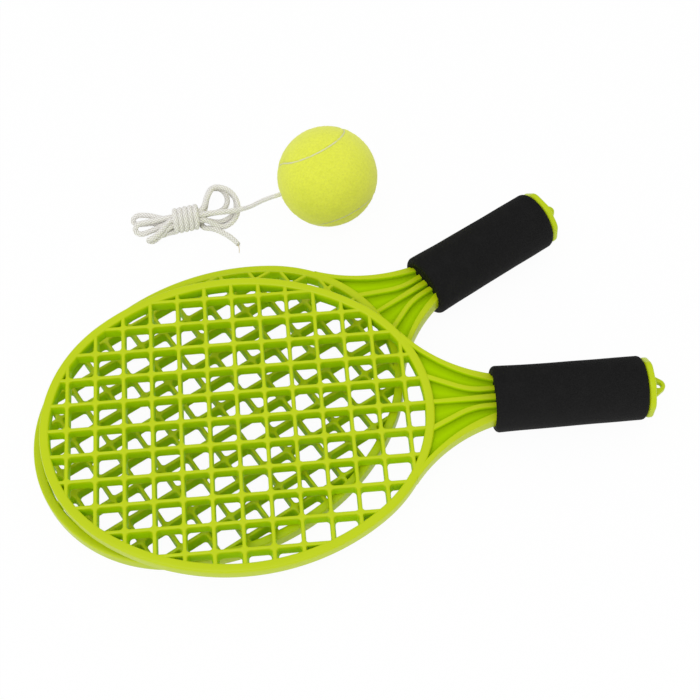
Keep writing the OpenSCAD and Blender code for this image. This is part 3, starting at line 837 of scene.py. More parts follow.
def throat_section(bat, x):
    """Half of the throat's front at a station, from its middle to its edge, with the painted light and shade of
    each point.
    """
    s = bat.s
    t = min(1.0, max(0.0, (bat.grip_start - x) / s.throat_length))
    rib, rib_slope = bat.rib_at(x)
    outer, outer_slope = bat.flare_at(x)
    middle_half = (s.middle_rib + (s.middle_rib_end - s.middle_rib) * t) / 2
    rib_half = s.inner_rib / 2 * math.hypot(1, rib_slope)
    edge_width = (s.edge_rib + (s.edge_rib_end - s.edge_rib) * t) * math.hypot(1, outer_slope)
    top = bat.half_depth
    sunk = top - s.rib_sink * t
    floor = top - s.groove_depth
    edge = s.rib_edge

    def groove(left, left_top, right, right_top):
        foot = min(s.groove_foot, (right - left) * FOOT_SHARE)
        return (marked(arc((left - edge, left_top - edge), edge, 90, 0), 0, 1)
                + marked(arc((left + foot, floor + foot), foot, 180, 270), WALL_PAINTED_SHADE, FOOT_PAINTED_SHADE)
                + [((left + right) / 2, floor, FLOOR_PAINTED_SHADE)]
                + marked(arc((right - foot, floor + foot), foot, 270, 360), FOOT_PAINTED_SHADE, WALL_PAINTED_SHADE)
                + marked(arc((right + edge, right_top - edge), edge, 180, 90), 1, 0))

    points = [(0, sunk, 0)]
    points += groove(middle_half, sunk, rib - rib_half, sunk)
    points += groove(rib + rib_half, sunk, outer - edge_width, top)
    return points + marked(arc((outer - edge, top - edge), edge, 90, 0), 0, 0) + [(outer, 0, 0)]


def throat(bat):
    """Five ribs that flare from the grip to the hoop, with rounded grooves between them, front and back."""
    bm = bmesh.new()
    end = bat.grip_start + THROAT_TUCK
    start_radius = bat.end_radius - bat.s.hoop_band / 2

    def section(x):
        half = throat_section(bat, x)
        return [(-y, z, hollow) for y, z, hollow in reversed(half[1:])] + half

    count = len(section(end)) - 1

    def start_of(j):
        """Where a line along the throat ends inside the hoop, by halving."""
        low, high = bat.flare_end, bat.half_length
        for _ in range(HALVINGS):
            x = (low + high) / 2
            inside = math.hypot(x - bat.end_x, section(x)[j][0]) < start_radius
            low, high = (x, high) if inside else (low, x)
        return low

    starts = [start_of(j) for j in range(count + 1)]
    layer = bm.verts.layers.float.new("hollow")
    grid = bmesh.ops.create_grid(bm, x_segments=THROAT_ROWS, y_segments=count, size=0.5)
    for vert in grid["verts"]:
        u, j = vert.co.x + 0.5, round((vert.co.y + 0.5) * count)
        row = round(u * THROAT_ROWS)
        x = starts[j] + (end - starts[j]) * u
        y, z, vert[layer] = section(x)[j]
        vert.co = Vector((x, y, 0 if row in (0, THROAT_ROWS) else z))
    for vert in add_back(bm, bm.faces[:]):
        vert.co.z = -vert.co.z
    merge(bm)
    return bm


GRIP_STEPS = 96
GRIP_ROWS = 26
GRIP_LIP_STEPS = 8
GRIP_GAP = mm(0.02)
FLARE_LENGTH = mm(22)
# Size and height of the foam's unevenness, and how far from the core it starts.
WAVE_SCALE = 55
WAVE_HEIGHT = mm(0.16)
WAVE_START = mm(0.5)
CORE_SETBACK = mm(3)
CORE_GAP = mm(0.1)
CORE_STEPS = 48
PLUG_ROOM = mm(2)
PLUG_GAP = mm(0.05)
PLUG_ROOT = mm(1)
PLUG_STEPS = 48
FLANGE_SIDES = 8
FLANGE_STEPS = 5
RIM_ANGLE = 1.2


def quarter(x, x_in, radius, radius_in):
    """A rounded corner of an outline: from x + x_in at the radius, to x at radius + radius_in."""
    turns = [math.pi / 2 * i / GRIP_LIP_STEPS for i in range(GRIP_LIP_STEPS + 1)]
    return [(x + x_in * (1 - math.sin(t)), radius + radius_in * (1 - math.cos(t))) for t in turns]


def foam_grip(bat, seed):
    """A foam sleeve with rounded lips that closes round the throat, a little uneven as pulled-on foam is."""
    s = bat.s
    bm = bmesh.new()
    outer, inner, lip, mouth = s.grip_d / 2, s.core_d / 2 + GRIP_GAP, s.grip_lip, s.grip_mouth
    run = s.grip_length - 2 * lip
    behind = bat.grip_start + CORE_SETBACK - CORE_GAP
    outline = [(bat.grip_start + mouth, 0)]
    outline += quarter(bat.grip_start, mouth, inner, mouth)
    outline += reversed(quarter(bat.grip_start, lip, outer, -lip))
    outline += [(bat.grip_start + lip + run * i / GRIP_ROWS, outer) for i in range(1, GRIP_ROWS)]
    outline += quarter(bat.grip_end, -lip, outer, -lip)
    outline += [(bat.grip_end, inner), (behind, inner), (behind, 0)]
    turn_outline(bm, outline, GRIP_STEPS)
    for vert in bm.verts:
        radial = Vector((0, vert.co.y, vert.co.z))
        if radial.length > inner + WAVE_START:
            wave = noise.noise(vert.co * WAVE_SCALE + Vector((seed, 0, 0))) * WAVE_HEIGHT
            flare = s.grip_flare * math.exp((bat.grip_start - vert.co.x) / FLARE_LENGTH)
            vert.co += radial.normalized() * (wave + flare)
    return bm


def handle_core(bat):
    """The stiff core under the foam, set back in the foam's mouth, with the bore for the end cap's plug."""
    s = bat.s
    bm = bmesh.new()
    start, end = bat.grip_start + CORE_SETBACK, bat.grip_end
    bore_start = end - s.plug_length - PLUG_ROOM
    core, bore = s.core_d / 2, s.bore_d / 2
    outline = [(start, 0), (start, core), (end, core), (end, bore), (bore_start, bore), (bore_start, 0)]
    turn_outline(bm, outline, CORE_STEPS)
    return bm


def end_cap(bat):
    """The cap: a plug, a rounded eight-sided flange and a hanging tab with its hole."""
    s = bat.s
    bm = bmesh.new()
    turn = Matrix.Rotation(math.pi / 2, 4, "Y") @ Matrix.Rotation(math.pi / FLANGE_SIDES, 4, "Z")
    middle = Matrix.Translation((bat.grip_end + s.flange_depth / 2, 0, 0))
    bmesh.ops.create_cone(bm, cap_ends=True, segments=FLANGE_SIDES, radius1=s.flange_d / 2,
                          radius2=s.flange_d / 2, depth=s.flange_depth, matrix=middle @ turn)
    sides = [e for e in bm.edges if abs(e.verts[0].co.x - e.verts[1].co.x) > s.flange_depth / 2]
    round_edges(bm, sides, s.flange_corner, FLANGE_STEPS)
    rim = [e for e in bm.edges if e.calc_face_angle(0) > RIM_ANGLE]
    round_edges(bm, rim, s.flange_edge, FLANGE_STEPS)
    hanging_tab(bat, bm)
    start, radius = bat.grip_end - s.plug_length, s.bore_d / 2 - PLUG_GAP
    plug = ring(bm, PLUG_STEPS, lambda t: Vector((start, radius * math.cos(t), radius * math.sin(t))))
    wall = bmesh.ops.extrude_edge_only(bm, edges=edges_in(plug))
    bmesh.ops.translate(bm, verts=points_in(wall["geom"]), vec=(s.plug_length + PLUG_ROOT, 0, 0))
    close_ends(bm)
    return bm


TAB_STEPS = 40
TAB_ROOT = mm(1.2)
TAB_EDGE = mm(0.9)
TAB_EDGE_STEPS = 3
TAB_RIM_ANGLE = 1.0


def hanging_tab(bat, bm):
    """A rounded tab on the flange, with a round hole through it."""
    s = bat.s
    tip = s.hang_hole + s.hang_wall
    front = s.hang_depth / 2
    foot = Vector((bat.flange_end - TAB_ROOT - bat.hang_x, s.hang_foot))
    foot_turn = math.atan2(foot.y, foot.x)
    flank_turn = foot_turn - math.acos(tip / foot.length)
    flank = Vector((math.cos(flank_turn), math.sin(flank_turn))) * tip

    def outside(turn):
        """A round tip, straight flanks that leave it smoothly, and a straight foot."""
        away = abs(turn)
        if away < flank_turn:
            p = Vector((math.cos(away), math.sin(away))) * tip
        elif away < foot_turn:
            p = flank.lerp(foot, (away - flank_turn) / (foot_turn - flank_turn))
        else:
            p = Vector((foot.x, foot.y * (math.pi - away) / (math.pi - foot_turn)))
        return Vector((bat.hang_x + p.x, math.copysign(p.y, turn), front))

    def hole(turn):
        return Vector((bat.hang_x + s.hang_hole * math.cos(turn), s.hang_hole * math.sin(turn), front))

    loops = []
    for shape in (outside, hole):
        loops += edges_in(ring(bm, TAB_STEPS, shape))
    made = bmesh.ops.bridge_loops(bm, edges=loops)
    back = add_back(bm, made["faces"])
    bmesh.ops.translate(bm, verts=back, vec=(0, 0, -s.hang_depth))
    faces = {f for v in back for f in v.link_faces} | set(made["faces"])
    rims = [e for e in {e for f in faces for e in f.edges}
            if abs(abs(e.verts[0].co.z) - front) < SLIGHT and e.calc_face_angle(0) > TAB_RIM_ANGLE
            and (e.verts[0].co - e.verts[1].co).z == 0]
    round_edges(bm, rims, TAB_EDGE, TAB_EDGE_STEPS)


# Ball


class Ball:
    """The ball's place, its cord's way out, and the turn of its seam, from the frame."""

    def __init__(self):
        s = settings().ball
        spin = next(j for j in frame["joints"] if j["name"] == "ball_spin")
        self.s = s
        self.middle = Vector(spin["pos_m"])
        self.hole = Vector(spin["axis"]).normalized()
        self.radius = s.diameter / 2
        self.seam_plane = self.radius / math.sqrt(2)
        euler = s.seam_turn
        self.turn = (Matrix.Rotation(euler[2], 4, "Z") @ Matrix.Rotation(euler[1], 4, "Y")
                     @ Matrix.Rotation(euler[0], 4, "X"))
        self.place = Matrix.Translation(self.middle) @ self.turn
        self.hole_inside = self.turn.to_3x3().inverted() @ self.hole

    def past_seam(self, p):
        """How far a point lies inside panel a, across the seam: negative in panel b."""
        return self.seam_plane - abs(p.x) if p.z >= 0 else abs(p.y) - self.seam_plane


NAP_SCALE = 330
NAP_ROUGHNESS = 0.6
NAP_LACUNARITY = 2.0
NAP_OCTAVES = 4
# Share of the nap that shows on the seam, and how many naps the felt's mean lies under the ball's radius.
SEAM_NAP = 0.3
NAP_SINK = 1.2
DIMPLE_REACH = mm(4.5)
DIMPLE_DEPTH = mm(0.9)


def felt_height(ball, p, kind):
    """Radius of the felt or the seam in a direction."""
    s = ball.s
    nap = noise.fractal(p * NAP_SCALE, NAP_ROUGHNESS, NAP_LACUNARITY, NAP_OCTAVES) * s.nap
    if kind == "seam":
        return ball.radius - s.seam_recess - s.nap + nap * SEAM_NAP
    inside = abs(ball.past_seam(p)) - s.seam_width / 2
    short = min(1.0, max(0.0, 1 - inside / s.felt_edge))
    to_hole = (p - ball.hole_inside * ball.radius).length
    dimple = max(0.0, 1 - to_hole / DIMPLE_REACH) ** 2 * DIMPLE_DEPTH
    return ball.radius - s.nap * NAP_SINK + nap - s.felt_drop * short ** 2 - dimple


BALL_DIVISIONS = 6
SEAM_SNAP = mm(0.001)
SEAM_MERGE_MM = 0.02
FELT_GAP = mm(0.05)


def ball_panel(ball, kind):
    """One felt panel or the seam, cut out of a fine sphere along the seam's planes, as thick as the felt."""
    s = ball.s
    half = s.seam_width / 2
    bm = bmesh.new()
    bmesh.ops.create_icosphere(bm, subdivisions=BALL_DIVISIONS, radius=ball.radius)
    cut(bm, (0, 0, 0), UP)
    for above in (True, False):
        normal = Vector((1, 0, 0)) if above else Vector((0, 1, 0))
        for side in (-1, 1):
            for edge in (-half, half):
                faces = [f for f in bm.faces if (f.calc_center_median().z > 0) == above]
                verts = {v for f in faces for v in f.verts}
                edges = {e for f in faces for e in f.edges}
                bmesh.ops.bisect_plane(bm, geom=[*verts, *edges, *faces], dist=SEAM_SNAP, plane_no=normal,
                                       plane_co=normal * (side * (ball.seam_plane + edge)))

    def wanted(face):
        inside = ball.past_seam(face.calc_center_median())
        if kind == "seam":
            return abs(inside) <= half
        return inside > half if kind == "a" else inside < -half

    bmesh.ops.delete(bm, geom=[f for f in bm.faces if not wanted(f)], context="FACES")
    merge(bm, SEAM_MERGE_MM)
    for vert in bm.verts:
        vert.co = vert.co.normalized() * felt_height(ball, vert.co, kind)
    inner = ball.radius - s.felt_depth + FELT_GAP
    for vert in add_back(bm, bm.faces[:]):
        vert.co = vert.co.normalized() * inner
    return bm


# How far a fibre's foot may lie over the seam's edge, and how deep it is rooted in the felt.
FIBRE_OVERHANG = mm(0.25)
FIBRE_ROOT = mm(0.05)
FIBRE_WAIST = 0.8


def any_way(draw):
    return Vector((draw.gauss(0, 1), draw.gauss(0, 1), draw.gauss(0, 1)))


def felt_fibres(ball, kind, seed):
    """Short loose fibres over one panel, each a bent strip of two faces."""
    s = ball.s
    draw = random.Random(seed)
    bm = bmesh.new()
    made = 0
    while made < s.fibre_count:
        p = any_way(draw).normalized() * ball.radius
        inside = ball.past_seam(p) * (1 if kind == "a" else -1)
        if inside < s.seam_width / 2 - FIBRE_OVERHANG:
            continue
        made += 1
        out = p.normalized()
        along = out.cross(any_way(draw)).normalized()
        across = out.cross(along) * (s.fibre_width / 2)
        length = s.fibre_length * draw.uniform(0.5, 1.1)
        lift = out * length * draw.uniform(0.12, 0.55)
        bend = across.normalized() * length * draw.uniform(-0.3, 0.3)
        foot = out * (felt_height(ball, p, kind) - FIBRE_ROOT)
        middle = foot + along * length * 0.5 + lift * 0.6 + bend * 0.3
        tip = foot + along * length + lift * 0.75 + bend
        waist = across * FIBRE_WAIST
        left, right = bm.verts.new(foot - across), bm.verts.new(foot + across)
        waist_right, waist_left = bm.verts.new(middle + waist), bm.verts.new(middle - waist)
        bm.faces.new((left, right, waist_right, waist_left))
        bm.faces.new((waist_left, waist_right, bm.verts.new(tip)))
    return bm


# Cord


class Hank:
    """The hank's loops, in its own frame: u along it, v across it, z up, in millimetres.

    A turn has the u where it starts, how far it reaches out in u, and the v and z of its two ends.
    A slot is a strand's place in the waist, in strands across and up.
    """

    at = (-19, 161.8)
    turn = math.radians(9.4)
    strand_gap = 0.7
    waist_half = 10
    left_turns = [
        (-25, 3, (-9.8, 7.4), (-7.4, 1.6)),
        (-31, 4.4, (4.6, 8.4), (-0.8, 3.6)),
        (-31, 4.6, (14, 6.6), (10.2, 1.6)),
        (-18, 2.8, (0.8, 1.5), (-3.8, 1.5)),
    ]
    right_turns = [
        (23.5, 13.5, (-8, 1.6), (20.4, 11.4)),
        (22.5, 8.6, (6.2, 1.6), (24.2, 7)),
        (22.5, 14, (28.4, 1.6), (-3.2, 1.6)),
    ]
    turn_steps = 6
    right_stations = [18, 14.5, 12, 10]
    left_stations = [-10, -12, -14.5, -18, -24]
    station_room = 2
    lead_end = (38, -2.2, 8.8)
    lead_stations = [30, 25, 20, 15, 10]
    wrap_in_u = -14
    wrap_in_angle = -125
    wrap_u = -8
    wrap_angle = -165
    wrap_in_steps = 5
    ring_angle = 15
    wrap_steps = 115
    lead_route = [(39, 158.8, 25), (33.8, 160.6, 20.8), (29.2, 162.6, 16), (25.1, 164.6, 11.8)]
    tail_way = (1, -2.6)
    tail_steps = (1, 1.7)
    tail_route = [(12.2, -5.9), (14.8, -6.8), (17.6, -8.6), (20.6, -11.4), (23.6, -14.8), (26.4, -18.6),
                  (28.6, -22.4), (30.4, -26.4)]
    set_centre = (78.1, 40.93)
    core_inside = 1.6
    straight_out = 4

    def __init__(self, diameter):
        self.d = diameter * 1000
        self.step = self.d + self.strand_gap
        rise = math.sin(math.radians(60))
        self.leftward_slots = [(-0.5, rise), (0.5, rise), (1, 0), (-0.5, -rise)]
        self.rightward_slots = [(-1, 0), (0, 0), (0.5, -rise)]
        self.wrap_r = 2 * self.step
        self.waist_z = self.d / 2 + self.wrap_r

    @staticmethod
    def ease(t):
        c = min(1.0, max(0.0, t))
        return c * c * (3 - 2 * c)

    @staticmethod
    def mix(a, b, t):
        return a + (b - a) * t

    def open_run(self, u, slot, turn, end):
        """A point on a run that leaves its slot at the waist and opens towards the end of a turn."""
        t = self.ease((abs(u) - self.waist_half) / (abs(turn[0]) - self.waist_half))
        v, z = slot[0] * self.step, self.waist_z + slot[1] * self.step
        return (u, self.mix(v, end[0], t), self.mix(z, end[1], t))

    def turn_round(self, turn, way):
        points = []
        for i in range(self.turn_steps + 1):
            bend = math.pi * i / self.turn_steps
            t = (1 - math.cos(bend)) / 2
            points.append((turn[0] + way * turn[1] * math.sin(bend),
                           self.mix(turn[2][0], turn[3][0], t), self.mix(turn[2][1], turn[3][1], t)))
        return points

    def left_part(self, turn):
        return [u for u in self.left_stations if u > turn[0] + self.station_room]

    def leftward(self, k):
        slot, to = self.leftward_slots[k], self.left_turns[k]
        points = []
        if k > 0:
            start = self.right_turns[k - 1]
            points += [self.open_run(u, slot, start, start[3]) for u in self.right_stations]
        points += [self.open_run(u, slot, to, to[2]) for u in self.left_part(to)]
        return points + self.turn_round(to, -1)

    def rightward(self, k):
        slot, start, to = self.rightward_slots[k], self.left_turns[k], self.right_turns[k]
        points = [self.open_run(u, slot, start, start[3]) for u in reversed(self.left_part(start))]
        points += [self.open_run(u, slot, to, to[2]) for u in reversed(self.right_stations)]
        return points + self.turn_round(to, 1)

    def lead_in(self, u):
        """The cord from the ball comes in over the eye and runs straight to the waist."""
        slot = self.leftward_slots[0]
        t = self.ease((u - self.waist_half) / (self.lead_end[0] - self.d - self.waist_half))
        return (u, self.mix(slot[0] * self.step, self.lead_end[1], t),
                self.mix(self.waist_z + slot[1] * self.step, self.lead_end[2], t))

    def round_waist(self, u, degrees):
        a = math.radians(degrees)
        return (u, self.wrap_r * math.cos(a), self.waist_z + self.wrap_r * math.sin(a))

    def wrap_in(self, i):
        a = math.pi / 2 * i / self.wrap_in_steps
        return self.round_waist(self.mix(self.wrap_in_u, self.wrap_u, math.sin(a)),
                                self.mix(self.wrap_in_angle, self.wrap_angle, 1 - math.cos(a)))

    def wrap(self, i):
        return self.round_waist(self.wrap_u + self.step * i * self.ring_angle / 360,
                                self.wrap_angle - self.ring_angle * i)

    def on_floor(self, p):
        """From the hank's own frame to the set's, in metres."""
        c, s = math.cos(self.turn), math.sin(self.turn)
        return self.in_set((self.at[0] + p[0] * c - p[1] * s, self.at[1] + p[0] * s + p[1] * c, p[2]))

    def in_set(self, p):
        return Vector((mm(p[0] - self.set_centre[0]), mm(p[1] - self.set_centre[1]), mm(p[2])))

    def route(self, ball, knot_reach):
        """The whole cord, from the knot in the ball to the cut end."""
        core = ball.radius - ball.s.felt_depth
        reaches = [knot_reach, core - mm(self.core_inside), core]
        reaches += [ball.radius + mm(self.straight_out) * share for share in (0, 0.5, 1)]
        lead = [ball.middle + ball.hole * reach for reach in reaches]
        lead += [self.in_set(p) for p in self.lead_route]
        end = self.lead_end
        lead += [self.on_floor((end[0] + self.d, end[1], end[2]))]
        loops = [end, self.lead_in(end[0] - self.d)]
        loops += [self.lead_in(u) for u in self.lead_stations]
        for k in range(len(self.right_turns)):
            loops += self.leftward(k) + self.rightward(k)
        loops += self.leftward(len(self.right_turns))
        loops += [self.wrap_in(i) for i in range(self.wrap_in_steps)]
        loops += [self.wrap(i) for i in range(self.wrap_steps + 1)]
        u, v, z = loops[-1]
        loops += [(u + self.tail_way[0] * k, v + self.tail_way[1] * k, z) for k in self.tail_steps]
        tail = [(u, v, self.d / 2) for u, v in self.tail_route]
        return lead + [self.on_floor(p) for p in loops + tail]


FINE_SHARE = 3
NEARLY_NOTHING = 1e-9


def smooth_route(points, step):
    """Even steps along a smooth curve through the given points, and the curve's length."""
    fine = []
    padded = [points[0] * 2 - points[1]] + points + [points[-1] * 2 - points[-2]]
    for a, b, c, d in zip(padded, padded[1:], padded[2:], padded[3:]):
        before, span, after = [math.sqrt(max(NEARLY_NOTHING, gap.length)) for gap in (b - a, c - b, d - c)]
        leave = ((b - a) / before - (c - a) / (before + span) + (c - b) / span) * span
        arrive = ((c - b) / span - (d - b) / (span + after) + (d - c) / after) * span
        pieces = max(2, int((c - b).length / step * FINE_SHARE))
        for i in range(pieces):
            t = i / pieces
            fine.append(b * (2 * t ** 3 - 3 * t ** 2 + 1) + leave * (t ** 3 - 2 * t ** 2 + t)
                        + c * (3 * t ** 2 - 2 * t ** 3) + arrive * (t ** 3 - t ** 2))
    fine.append(points[-1].copy())
    lengths = [0.0]
    for a, b in zip(fine, fine[1:]):
        lengths.append(lengths[-1] + (b - a).length)
    stops = int(lengths[-1] / step)
    even = []
    at = 0
    for i in range(stops + 1):
        want = lengths[-1] * i / stops
        while at < len(fine) - 2 and lengths[at + 1] < want:
            at += 1
        t = (want - lengths[at]) / max(NEARLY_NOTHING, lengths[at + 1] - lengths[at])
        even.append(fine[at].lerp(fine[at + 1], t))
    return even, lengths[-1]


def carried_frames(path):
    """A direction and two cross directions at each point of a path, carried along it without twist."""
    frames = []
    side = Vector((0, 0.3, 1))
    for i in range(len(path)):
        along = (path[min(i + 1, len(path) - 1)] - path[max(i - 1, 0)]).normalized()
        side = (side - along * side.dot(along)).normalized()
        frames.append((along, side, along.cross(side)))
    return frames


def out_of_path(axes, around):
    """The direction straight out of a path, so far round it from 0 to 1."""
    turn = 2 * math.pi * around
    return axes[1] * math.cos(turn) + axes[2] * math.sin(turn)


YARN_SAMPLES = 4
YARN_CROWN = 0.7
YARN_DIP = 0.55
CORD_FLOOR = mm(0.05)
CORD_MERGE_MM = 0.002
# Share of the fullness where the cord runs straight, and how far from the hank's middle it falls to that.
TAUT_SHARE = 0.3
SLACK_REACH = mm(32)
SLACK_FADE = mm(14)


def yarn_height(around, along, yarns, step):
    """Height of a plain braid, from 0 in hollows to 1 on top of a yarn, and the place across that yarn."""
    one = around * yarns + along / step
    two = around * yarns - along / step
    f, g = one % 1.0, two % 1.0
    over = (math.floor(one) + math.floor(two)) % 2 == 0
    across, length = (f, g) if over else (g, f)
    crown = math.sin(math.pi * across) ** YARN_CROWN
    return crown * (YARN_DIP + (1 - YARN_DIP) * math.sin(math.pi * length)), across


def slackness(point, middle):
    """1 for the slack cord in the hank, falling to a low share where the cord runs out straight."""
    away = math.hypot(point.x - middle.x, point.y - middle.y)
    return TAUT_SHARE + (1 - TAUT_SHARE) * (1 - Hank.ease((away - SLACK_REACH) / SLACK_FADE))


def braided_tube(path, sizes, middle):
    """A closed tube along a path, with the relief of its braid, fuller where the cord lies slack."""
    bm = bmesh.new()
    frames = carried_frames(path)
    rings = len(path) - 1
    sides = sizes.yarns * YARN_SAMPLES
    length = sizes.ring_step * rings
    height_layer = bm.verts.layers.float.new("yarn_height")
    filament_layer = bm.verts.layers.float.new("filament")
    grid = bmesh.ops.create_grid(bm, x_segments=rings, y_segments=sides, size=0.5)
    for vert in grid["verts"]:
        i = round((vert.co.x + 0.5) * rings)
        around = round((vert.co.y + 0.5) * sides) / sides
        height, across = yarn_height(around % 1.0, length * i / rings, sizes.yarns, sizes.yarn_step)
        vert[height_layer] = height
        vert[filament_layer] = across
        full = sizes.fullness * slackness(path[i], middle)
        reach = sizes.diameter / 2 + full - sizes.relief * (1 - height)
        vert.co = path[i] + out_of_path(frames[i], around) * reach
        vert.co.z = max(vert.co.z, CORD_FLOOR)
    merge(bm, CORD_MERGE_MM)
    close_ends(bm)
    return bm


def strand(bm, path, radius, sides, taper=0.35, merge_mm=0.001):
    """A thin tube with open ends that tapers along a path."""
    frames = carried_frames(path)
    rings = len(path) - 1

    def shape(u, v):
        i = round(u * rings)
        return path[i] + out_of_path(frames[i], v) * radius * (1 - taper * u)

    verts = sheet(bm, rings, sides, shape)
    bmesh.ops.remove_doubles(bm, verts=verts, dist=mm(merge_mm))


def all_yarn(bm):
    """Marks a whole mesh as the top of a yarn."""
    layer = bm.verts.layers.float.new("yarn_height")
    for vert in bm.verts:
        vert[layer] = 1.0


FRAY_SEED = 11
FRAY_COUNT = 16
FRAY_ROOT = mm(0.8)
FRAY_RADIUS = mm(0.07)
FRAY_SIDES = 4
FRAY_POINTS = 5
FRAY_FLOOR = mm(0.08)
FRAY_DROP = 0.25
# Share of the cord's diameter within which the filaments start.
FRAY_SPAN = 0.42


def frayed_end(path, sizes):
    """Loose filaments that spread from the cord's cut end."""
    draw = random.Random(FRAY_SEED)
    bm = bmesh.new()
    axes = carried_frames(path)[-1]
    along = axes[0]
    for _ in range(FRAY_COUNT):
        out = out_of_path(axes, draw.random())
        reach = sizes.diameter * FRAY_SPAN * math.sqrt(draw.random())
        length = sizes.fray_length * draw.uniform(0.35, 1.0)
        spread = draw.uniform(0.1, 0.5)
        foot = path[-1] + out * reach - along * FRAY_ROOT
        points = []
        for k in range(FRAY_POINTS):
            t = k / (FRAY_POINTS - 1)
            point = foot + along * (length + FRAY_ROOT) * t + out * length * spread * t * t
            point.z = max(point.z - length * FRAY_DROP * t * t, FRAY_FLOOR)
            points.append(point)
        strand(bm, points, FRAY_RADIUS, FRAY_SIDES)
    close_ends(bm)
    all_yarn(bm)
    return bm


THREAD_POINTS = 13
THREAD_RADIUS = mm(0.28)
THREAD_SIDES = 6
THREAD_FLOOR = mm(0.3)
# Shares of the thread's length that lie inside the cord, and by which it curls aside.
THREAD_ROOT = 0.12
THREAD_CURL = 0.55


def hanging_thread(path, sizes):
    """One long thread that curls out of the cut end onto the floor."""
    bm = bmesh.new()
    along = carried_frames(path)[-1][0]
    flat = Vector((along.x, along.y, 0)).normalized()
    left = Vector((-flat.y, flat.x, 0))
    points = []
    for k in range(THREAD_POINTS):
        t = k / (THREAD_POINTS - 1)
        curl = left * sizes.thread_length * THREAD_CURL * t ** 1.5
        point = path[-1] + flat * sizes.thread_length * (t - THREAD_ROOT) - curl
        point.z = max(THREAD_FLOOR, path[-1].z * (1 - t) ** 2)
        points.append(point)
    strand(bm, points, THREAD_RADIUS, THREAD_SIDES)
    close_ends(bm)
    return bm


KNOT_STEPS = 72
KNOT_SIDES = 16
KNOT_SETBACK = mm(3.5)
KNOT_SPAN = mm(0.87)
KNOT_HEIGHT = mm(1.9)
KNOT_MERGE_MM = 0.05
# Radius of the knot's tube, pulled a little tighter than the cord, as a share of the cord's diameter.
KNOT_SHARE = 0.46


def stop_knot(ball, reach, sizes):
    """An overhand knot in the cord's end, inside the ball."""
    bm = bmesh.new()
    across = ball.hole.cross(UP).normalized()
    other = ball.hole.cross(across)
    middle = ball.middle + ball.hole * (reach - KNOT_SETBACK)
    points = []
    for i in range(KNOT_STEPS + 1):
        t = 2 * math.pi * i / KNOT_STEPS
        a = math.sin(t) + 2 * math.sin(2 * t)
        b = math.cos(t) - 2 * math.cos(2 * t)
        c = -math.sin(3 * t)
        points.append(middle + (across * a + other * b) * KNOT_SPAN + ball.hole * c * KNOT_HEIGHT)
    strand(bm, points, sizes.diameter * KNOT_SHARE, KNOT_SIDES, taper=0, merge_mm=KNOT_MERGE_MM)
    close_ends(bm)
    all_yarn(bm)
    return bm


# Operators


class MakeHeads(bpy.types.Operator):
    """Make the hoops and grids of both bats"""

    bl_idname = "pole_tennis.heads"
    bl_label = "Heads"

    def execute(self, context):
        bat = Bat()
        for side in SIDES:
            place, body = bat_place(side), side + "_bat"
            make_piece(hoop(bat), side + "_rim", lime_plastic, body, [side + "_hoop"], place)
            make_piece(string_grid(bat), side + "_grid", lime_plastic, body,
                       [side + "_string_grid"], place, sharp=32)
        return {"FINISHED"}


GRIP_SEED_STEP = 7.3


class MakeHandles(bpy.types.Operator):
    """Make the throats, foam grips, end caps and handle cores of both bats"""

    bl_idname = "pole_tennis.handles"
    bl_label = "Handles"

    def execute(self, context):
        bat = Bat()
        for seed, side in enumerate(SIDES):
            place, body = bat_place(side), side + "_bat"
            make_piece(throat(bat), side + "_ribs", lime_plastic, body, [side + "_throat"],
                       place)
            sleeve = foam_grip(bat, seed * GRIP_SEED_STEP)
            grip = make_piece(sleeve, side + "_grip", grip_foam, body, [side + "_foam_grip"],
                              place, rests=True)
            make_piece(end_cap(bat), side + "_cap", lime_plastic, body, [side + "_end_cap"],
                       place, sharp=30)
            make_piece(handle_core(bat), side + "_core", lime_plastic, body,
                       [side + "_handle_core"], place)
        return {"FINISHED"}


class MakeBall(bpy.types.Operator):
    """Make the ball's felt panels, loose fibres and seam, and finish its core"""

    bl_idname = "pole_tennis.ball"
    bl_label = "Ball"

    def execute(self, context):
        ball = Ball()
        for kind in ("a", "b"):
            make_piece(ball_panel(ball, kind), "felt_" + kind, ball_felt, "ball",
                       ["felt_panel_" + kind], ball.place, sharp=70)
            make_piece(felt_fibres(ball, kind, ord(kind)), "fuzz_" + kind, felt_fibre, "ball",
                       place=ball.place, sharp=180)
        make_piece(ball_panel(ball, "seam"), "seam_line", seam_rubber, "ball", ["ball_seam"],
                   ball.place, sharp=70)
        for node in ("core_half_front", "core_half_back"):
            clothe(node, core_rubber)
        return {"FINISHED"}


KNOT_REACH = mm(27.3)


class MakeCord(bpy.types.Operator):
    """Make the braided cord from the ball through its hank to its cut end"""

    bl_idname = "pole_tennis.cord"
    bl_label = "Cord"

    def execute(self, context):
        sizes = settings().cord
        ball = Ball()
        hank = Hank(sizes.diameter)
        path, length = smooth_route(hank.route(ball, KNOT_REACH), sizes.ring_step)
        middle = hank.on_floor((0, 0, 0))
        cord = make_piece(braided_tube(path, sizes, middle), "braided_cord", cord_braid, "cord",
                          ["cord_lead", "cord_hank", "cord_tail"], sharp=75)
        fray = make_piece(frayed_end(path, sizes), "cord_fray", cord_braid, "cord", sharp=180)
        thread = make_piece(hanging_thread(path, sizes), "cord_thread", loose_thread, "cord",
                            sharp=180)
        knot = make_piece(stop_knot(ball, KNOT_REACH, sizes), "cord_knot", cord_braid, "cord",
                          ["stop_knot"], sharp=180)
        return {"FINISHED"}


FLOOR_HALF = 40
FLOOR_GREY = 0.94
CAMERA_NEAR = 0.05


